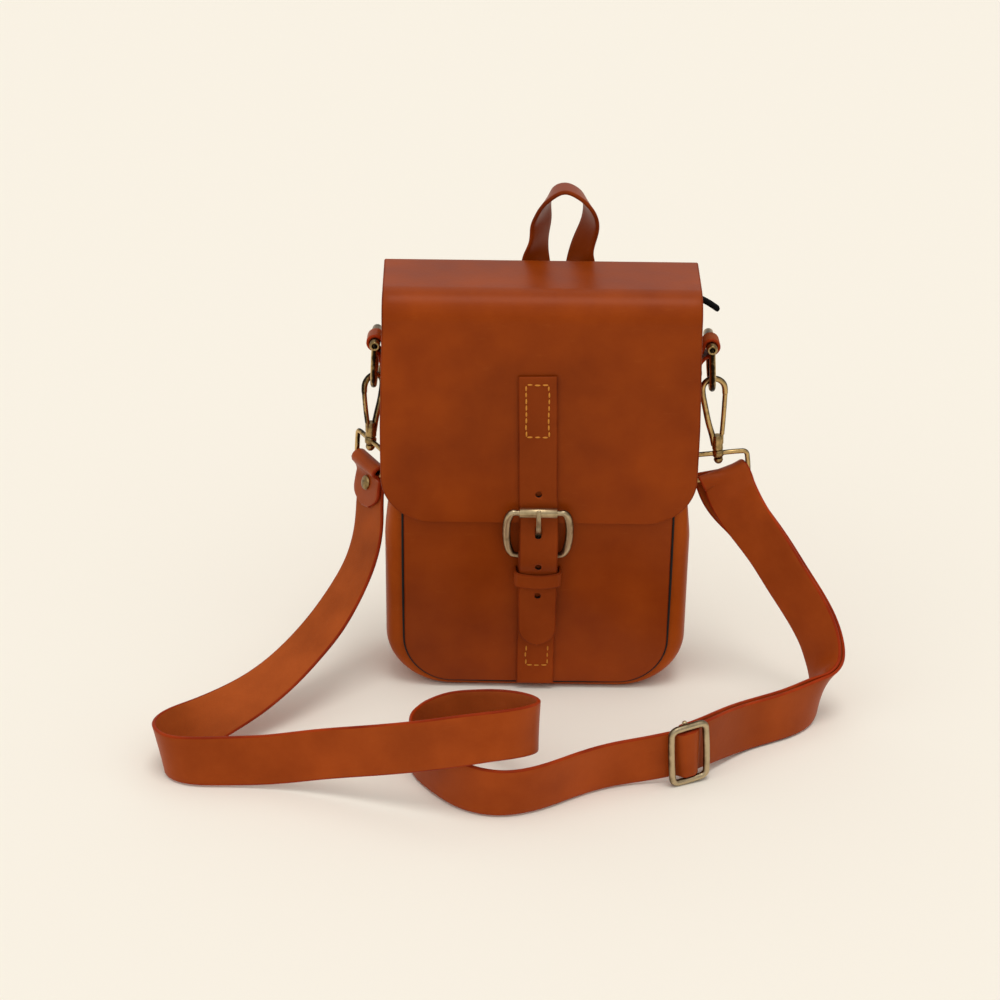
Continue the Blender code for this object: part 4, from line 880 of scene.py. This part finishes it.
strap = {"width": 32.0, "thickness": 2.4, "slider": 40, "lift": 4.1, "hump": 5.2, "apart": 4.0}
strapRoute = [
    (-103.8, 2.1, 142, -49, 87, 0), (-105.2, 1.2, 136, -50, 86, -5), (-106.4, -0.2, 130, -52, 84, -10),
    (-108.2, -6.6, 103, -59, 78, -22), (-114, -17, 80, -62, 76, -18), (-123, -28, 64, -62, 78, -4),
    (-135, -42, 49, -60, 79, 8), (-149, -57, 37, -58, 80, 12), (-164, -73, 28, -56, 80, 20),
    (-179, -87, 22, -52, 79, 32), (-194, -101, 19, -48, 74, 46), (-209, -114, 17, -42, 60, 68),
    (-221, -126, 17, -34, 36, 86), (-227, -139, 17, -22, 10, 97), (-221, -150, 17, -12, 0, 99),
    (-207, -155, 17, -4, 6, 100), (-188, -155, 17, 0, 12, 99), (-160, -156, 19, 1, 14, 99),
    (-130, -161, 26, 0, 14, 99), (-100, -169, 34, 0, 12, 99), (-76, -176, 41, 0, 10, 99),
    (-54, -182, 48, 0, 8, 99), (-34, -186, 54, 0, 8, 99), (-14, -182, 55, 0, 10, 99),
    (-1, -168, 51, 2, 10, 99), (-5, -150, 45, 4, 10, 99), (-20, -133, 38, 4, 8, 99),
    (-38, -118, 29, 2, 6, 99), (-56, -109, 21, 0, 4, 99), (-70, -113, 17, 0, 4, 99),
    (-76, -126, 17, 0, 6, 99), (-74, -141, 17, -3, 10, 99), (-66, -155, 17, -5, 10, 99),
    (-54, -170, 17, -6, 8, 99), (-40, -181, 17, -4, 2, 99), (-22, -186, 17, -2, -6, 99),
    (0, -180, 17, -4, -10, 99), (22, -166, 17, -6, -12, 99), (44, -154, 17, -7, -10, 99),
    (66, -148, 18, -8, -6, 99), (89.5, -143, 21.3, -8, -5, 99), (112, -125, 20, -8, -3, 99),
    (132, -107, 17, -9, 2, 99), (150, -97, 17, -8, 3, 99), (166, -86, 17, -4, 4, 99),
    (176, -76, 18, 8, -4, 99), (183, -65, 22, 30, -20, 92), (186, -55, 30, 46, -36, 81),
    (184, -47, 42, 54, -42, 73), (178, -41, 55, 60, -38, 70), (169, -36, 69, 62, -34, 71),
    (159, -31, 83, 63, -32, 71), (149, -25, 97, 64, -30, 70), (139, -18, 108.5, 70, -26, 66),
    (128, -9, 119, 84, -16, 50), (119.5, 0, 128, 96, -2, 27), (116.7, 4.2, 134.2, 98, 0, 21),
]


def strapFrames(places):
    places = np.asarray(places, float)
    rows = splineThrough(strapRoute, places)
    ahead = splineThrough(strapRoute, places + 0.5)[:, :3]
    behind = splineThrough(strapRoute, places - 0.5)[:, :3]
    along = unit(ahead - behind)
    across = unit(rows[:, 3:] - (rows[:, 3:] * along).sum(1)[:, None] * along)
    return rows[:, :3], along, across, np.cross(along, across)


def foldPoints(centre, axis, rise, radius, start, end, steps):
    face = np.cross(axis, rise)
    angles = np.radians(np.linspace(start, end, steps + 1))
    return [centre - face * radius * math.cos(a) + rise * radius * math.sin(a) for a in angles]


knots = splineThrough(strapRoute)
sliderAt, endAt = knots[strap["slider"]], knots[-1]
places = np.linspace(2, endAt - 1, 560)
run, _, runAcross, runFace = strapFrames(places)
ease = np.clip((9.0 - np.abs(places - sliderAt)) / 6.0, 0, 1)
run = run + runFace * (strap["hump"] * ease**2 * (3 - 2 * ease))[:, None]

tip, _, tipAcross, tipFace = strapFrames([27.0, 25.5, 24.0, 22.0, 20.0, 17.5, 15.0, 12.5, 10.0, 7.5, 5.0])
tip = tip - tipFace * np.array([2.8] * 9 + [2.9, 4.6])[:, None]
centre, axis = leftBar
rise = unit(np.array((0.0, 0.0, 1.0)) - axis[2] * axis)
leftFold = foldPoints(centre, axis, rise, 4.5, 0, 180, 12)
centre, _ = rightBar
skew = math.radians(12.0)
rightAxis = np.array((math.cos(skew), 0.0, math.sin(skew)))
rise = np.array((-0.19, 0.40, 0.90))
rise = unit(rise - rise.dot(rightAxis) * rightAxis)
rightFold = foldPoints(centre, rightAxis, rise, 4.8, 0, 180, 16)
topOfFold = 9

backPlaces = np.linspace(endAt - 5, sliderAt + 6, 130)
layer, _, layerAcross, layerFace = strapFrames(backPlaces)
share = (backPlaces - sliderAt) / (endAt - sliderAt)
apart = strap["apart"] + 5.2 * np.clip((share - 0.55) / 0.45, 0, 1) ** 1.5
layer = layer - layerFace * apart[:, None]
drift = 5.0 * np.clip((share - 0.45) / 0.55, 0, 1) ** 1.6
layer[:, 0] += drift
hub, hubAlong, hubAcross, hubFace = (row[0] for row in strapFrames([sliderAt]))
turnRows = []
for angle in np.radians(np.linspace(-90, -290, 14)):
    turnRows.append(hub - 0.95 * hubFace + 3.15 * (math.cos(angle) * hubAlong + math.sin(angle) * hubFace))

mainLine = np.vstack([tip, leftFold, run, rightFold[:topOfFold]])
mainAcross = np.vstack([tipAcross, [axis] * len(leftFold), runAcross, [rightAxis] * topOfFold])
mainWidths = np.full(len(mainLine), strap["width"])
mainWidths[:5] = [10.0, 17.5, 22.5, 27.5, 30.5]
foldEnd = np.array(rightFold[topOfFold - 1 :])
foldEnd[:, 0] += np.linspace(0, 4.6, len(foldEnd))
backLine = np.vstack([foldEnd, layer, turnRows])
backAcross = np.vstack([[rightAxis] * (len(rightFold) - topOfFold + 1), layerAcross, [hubAcross] * len(turnRows)])
strapLooks = [strapLeather, edgeLeather, fleshLeather]


# Stations laid evenly along a line, so that bends and straights are as fine
def spread(line, across, widths, step):
    lengths = distances(line)
    at = np.linspace(0, lengths[-1], int(lengths[-1] / step))

    def pick(rows):
        return np.column_stack([np.interp(at, lengths, rows[:, k]) for k in range(rows.shape[1])])

    return pick(line), pick(across), np.interp(at, lengths, widths), lengths[-1]


mainLine, mainAcross, mainWidths, mainLength = spread(mainLine, mainAcross, mainWidths, 1.3)
backLine, backAcross, _, backLength = spread(backLine, backAcross, np.ones(len(backLine)), 1.6)
print("strap", round(mainLength, 1), "and", round(backLength, 1), "mm")
strapMain = piece("strapMain", [band(mainLine, mainAcross, mainWidths, strap["thickness"], 10)], strapLooks, "bag",
                  ["shoulder_strap"])
strapReturn = piece("strapReturn", [band(backLine, backAcross, strap["width"], strap["thickness"], 10)],
                    strapLooks, "bag")
spot, _, _, out = (row[0] for row in strapFrames([12.5]))
rivetDome = [(4.6, 0.0), (4.7, 0.4), (4.3, 1.0), (3.4, 1.5), (2.0, 1.8), (0.0, 1.9)]
strapRivet = piece("strapRivet", [turned(rivetDome, spot - (2.8 + 1.2 + 0.3) * out, -out, 32)],
                   [antiqueBrass], "bag", ["strap_rivet"])
outline = arc((7.4, 14.8), 4.0, 90, 0, 10) + arc((7.4, -14.8), 4.0, 0, -90, 10)
outline += [(-a, w) for a, w in outline[::-1]]
rows = [hub + a * hubAlong + w * hubAcross + strap["lift"] * hubFace for a, w in outline]
rows = smoothLine(rows + rows[:1], 1.0)[:-1]
adjusterFrame = piece("adjusterFrame", [tube(rows, 2.1, True, 20)], [paleBrass], "bag", ["slider_frame"])
barMiddle = hub - 0.95 * hubFace
barRows = [barMiddle + w * hubAcross for w in np.linspace(-19.0, 19.0, 20)]
adjusterBar = piece("adjusterBar", [tube(barRows, 1.6, sides=18)], [satinBrass], "bag", ["slider_bar"])
print("straps and fittings ready")

studio = {"floor": (0.93, 0.875, 0.77), "sky": (1.0, 0.985, 0.96), "skyPower": 0.5,
          "above": 0.75, "over": 0.85, "ahead": 0.16}
bpy.ops.object.select_all(action="DESELECT")
bpy.ops.mesh.primitive_plane_add(size=30)
floor = bpy.context.object
floor.name = "floor"
floorLook = plainMaterial("floorLook", studio["floor"], 0.9, 0.1)
floor.data.materials.append(floorLook)
floor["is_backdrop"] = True
world = bpy.data.worlds.new("studio")
world.use_nodes = True
world.node_tree.nodes["Background"].inputs["Color"].default_value = (*studio["sky"], 1)
world.node_tree.nodes["Background"].inputs["Strength"].default_value = studio["skyPower"]
bpy.context.scene.world = world


# A very wide, even light that comes from the direction fromWay
def softLight(name, fromWay, power, spreadAngle):
    light = bpy.data.lights.new(name, "SUN")
    light.energy, light.angle = power, math.radians(spreadAngle)
    obj = bpy.data.objects.new(name, light)
    bpy.context.scene.collection.objects.link(obj)
    way = unit(np.array(fromWay, float))
    obj.rotation_euler = (math.acos(way[2]), 0, math.atan2(way[1], way[0]) + math.pi / 2)


softLight("aboveLight", (-0.1, -0.15, 1.0), studio["above"], 110)
softLight("overLight", (0.06, -0.14, 0.98), studio["over"], 26)
softLight("aheadLight", (-0.6, -0.9, 0.7), studio["ahead"], 80)

cameraPlace = {"at": (-24.0, -1213.0, 684.0), "target": (-24.0, -35.0, 135.0), "lens": 74.88, "roll": 0.7}
lens = bpy.data.cameras.new("camera")
lens.lens, lens.sensor_width = cameraPlace["lens"], 36.0
camera = bpy.data.objects.new("camera", lens)
bpy.context.scene.collection.objects.link(camera)
at, target = np.array(cameraPlace["at"]) * mm, np.array(cameraPlace["target"]) * mm
ahead = unit(target - at)
right = unit(np.cross(ahead, (0, 0, 1)))
upward = np.cross(right, ahead)
roll = math.radians(cameraPlace["roll"])
turnedRight = right * math.cos(roll) + upward * math.sin(roll)
turnedUp = -right * math.sin(roll) + upward * math.cos(roll)
matrix = np.eye(4)
matrix[:3, 0], matrix[:3, 1], matrix[:3, 2], matrix[:3, 3] = turnedRight, turnedUp, -ahead, at
camera.matrix_world = [list(map(float, row)) for row in matrix.T]
bpy.context.scene.camera = camera
bpy.context.scene.view_settings.view_transform = "Standard"
bpy.context.scene.cycles.max_bounces = 8
bpy.context.scene.cycles.use_denoising = True

seenLow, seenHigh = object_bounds()
sizes = {"cad": [list(map(float, cadLow)), list(map(float, cadHigh))],
         "visual": [list(map(float, seenLow)), list(map(float, seenHigh))]}
print("sizes", sizes)
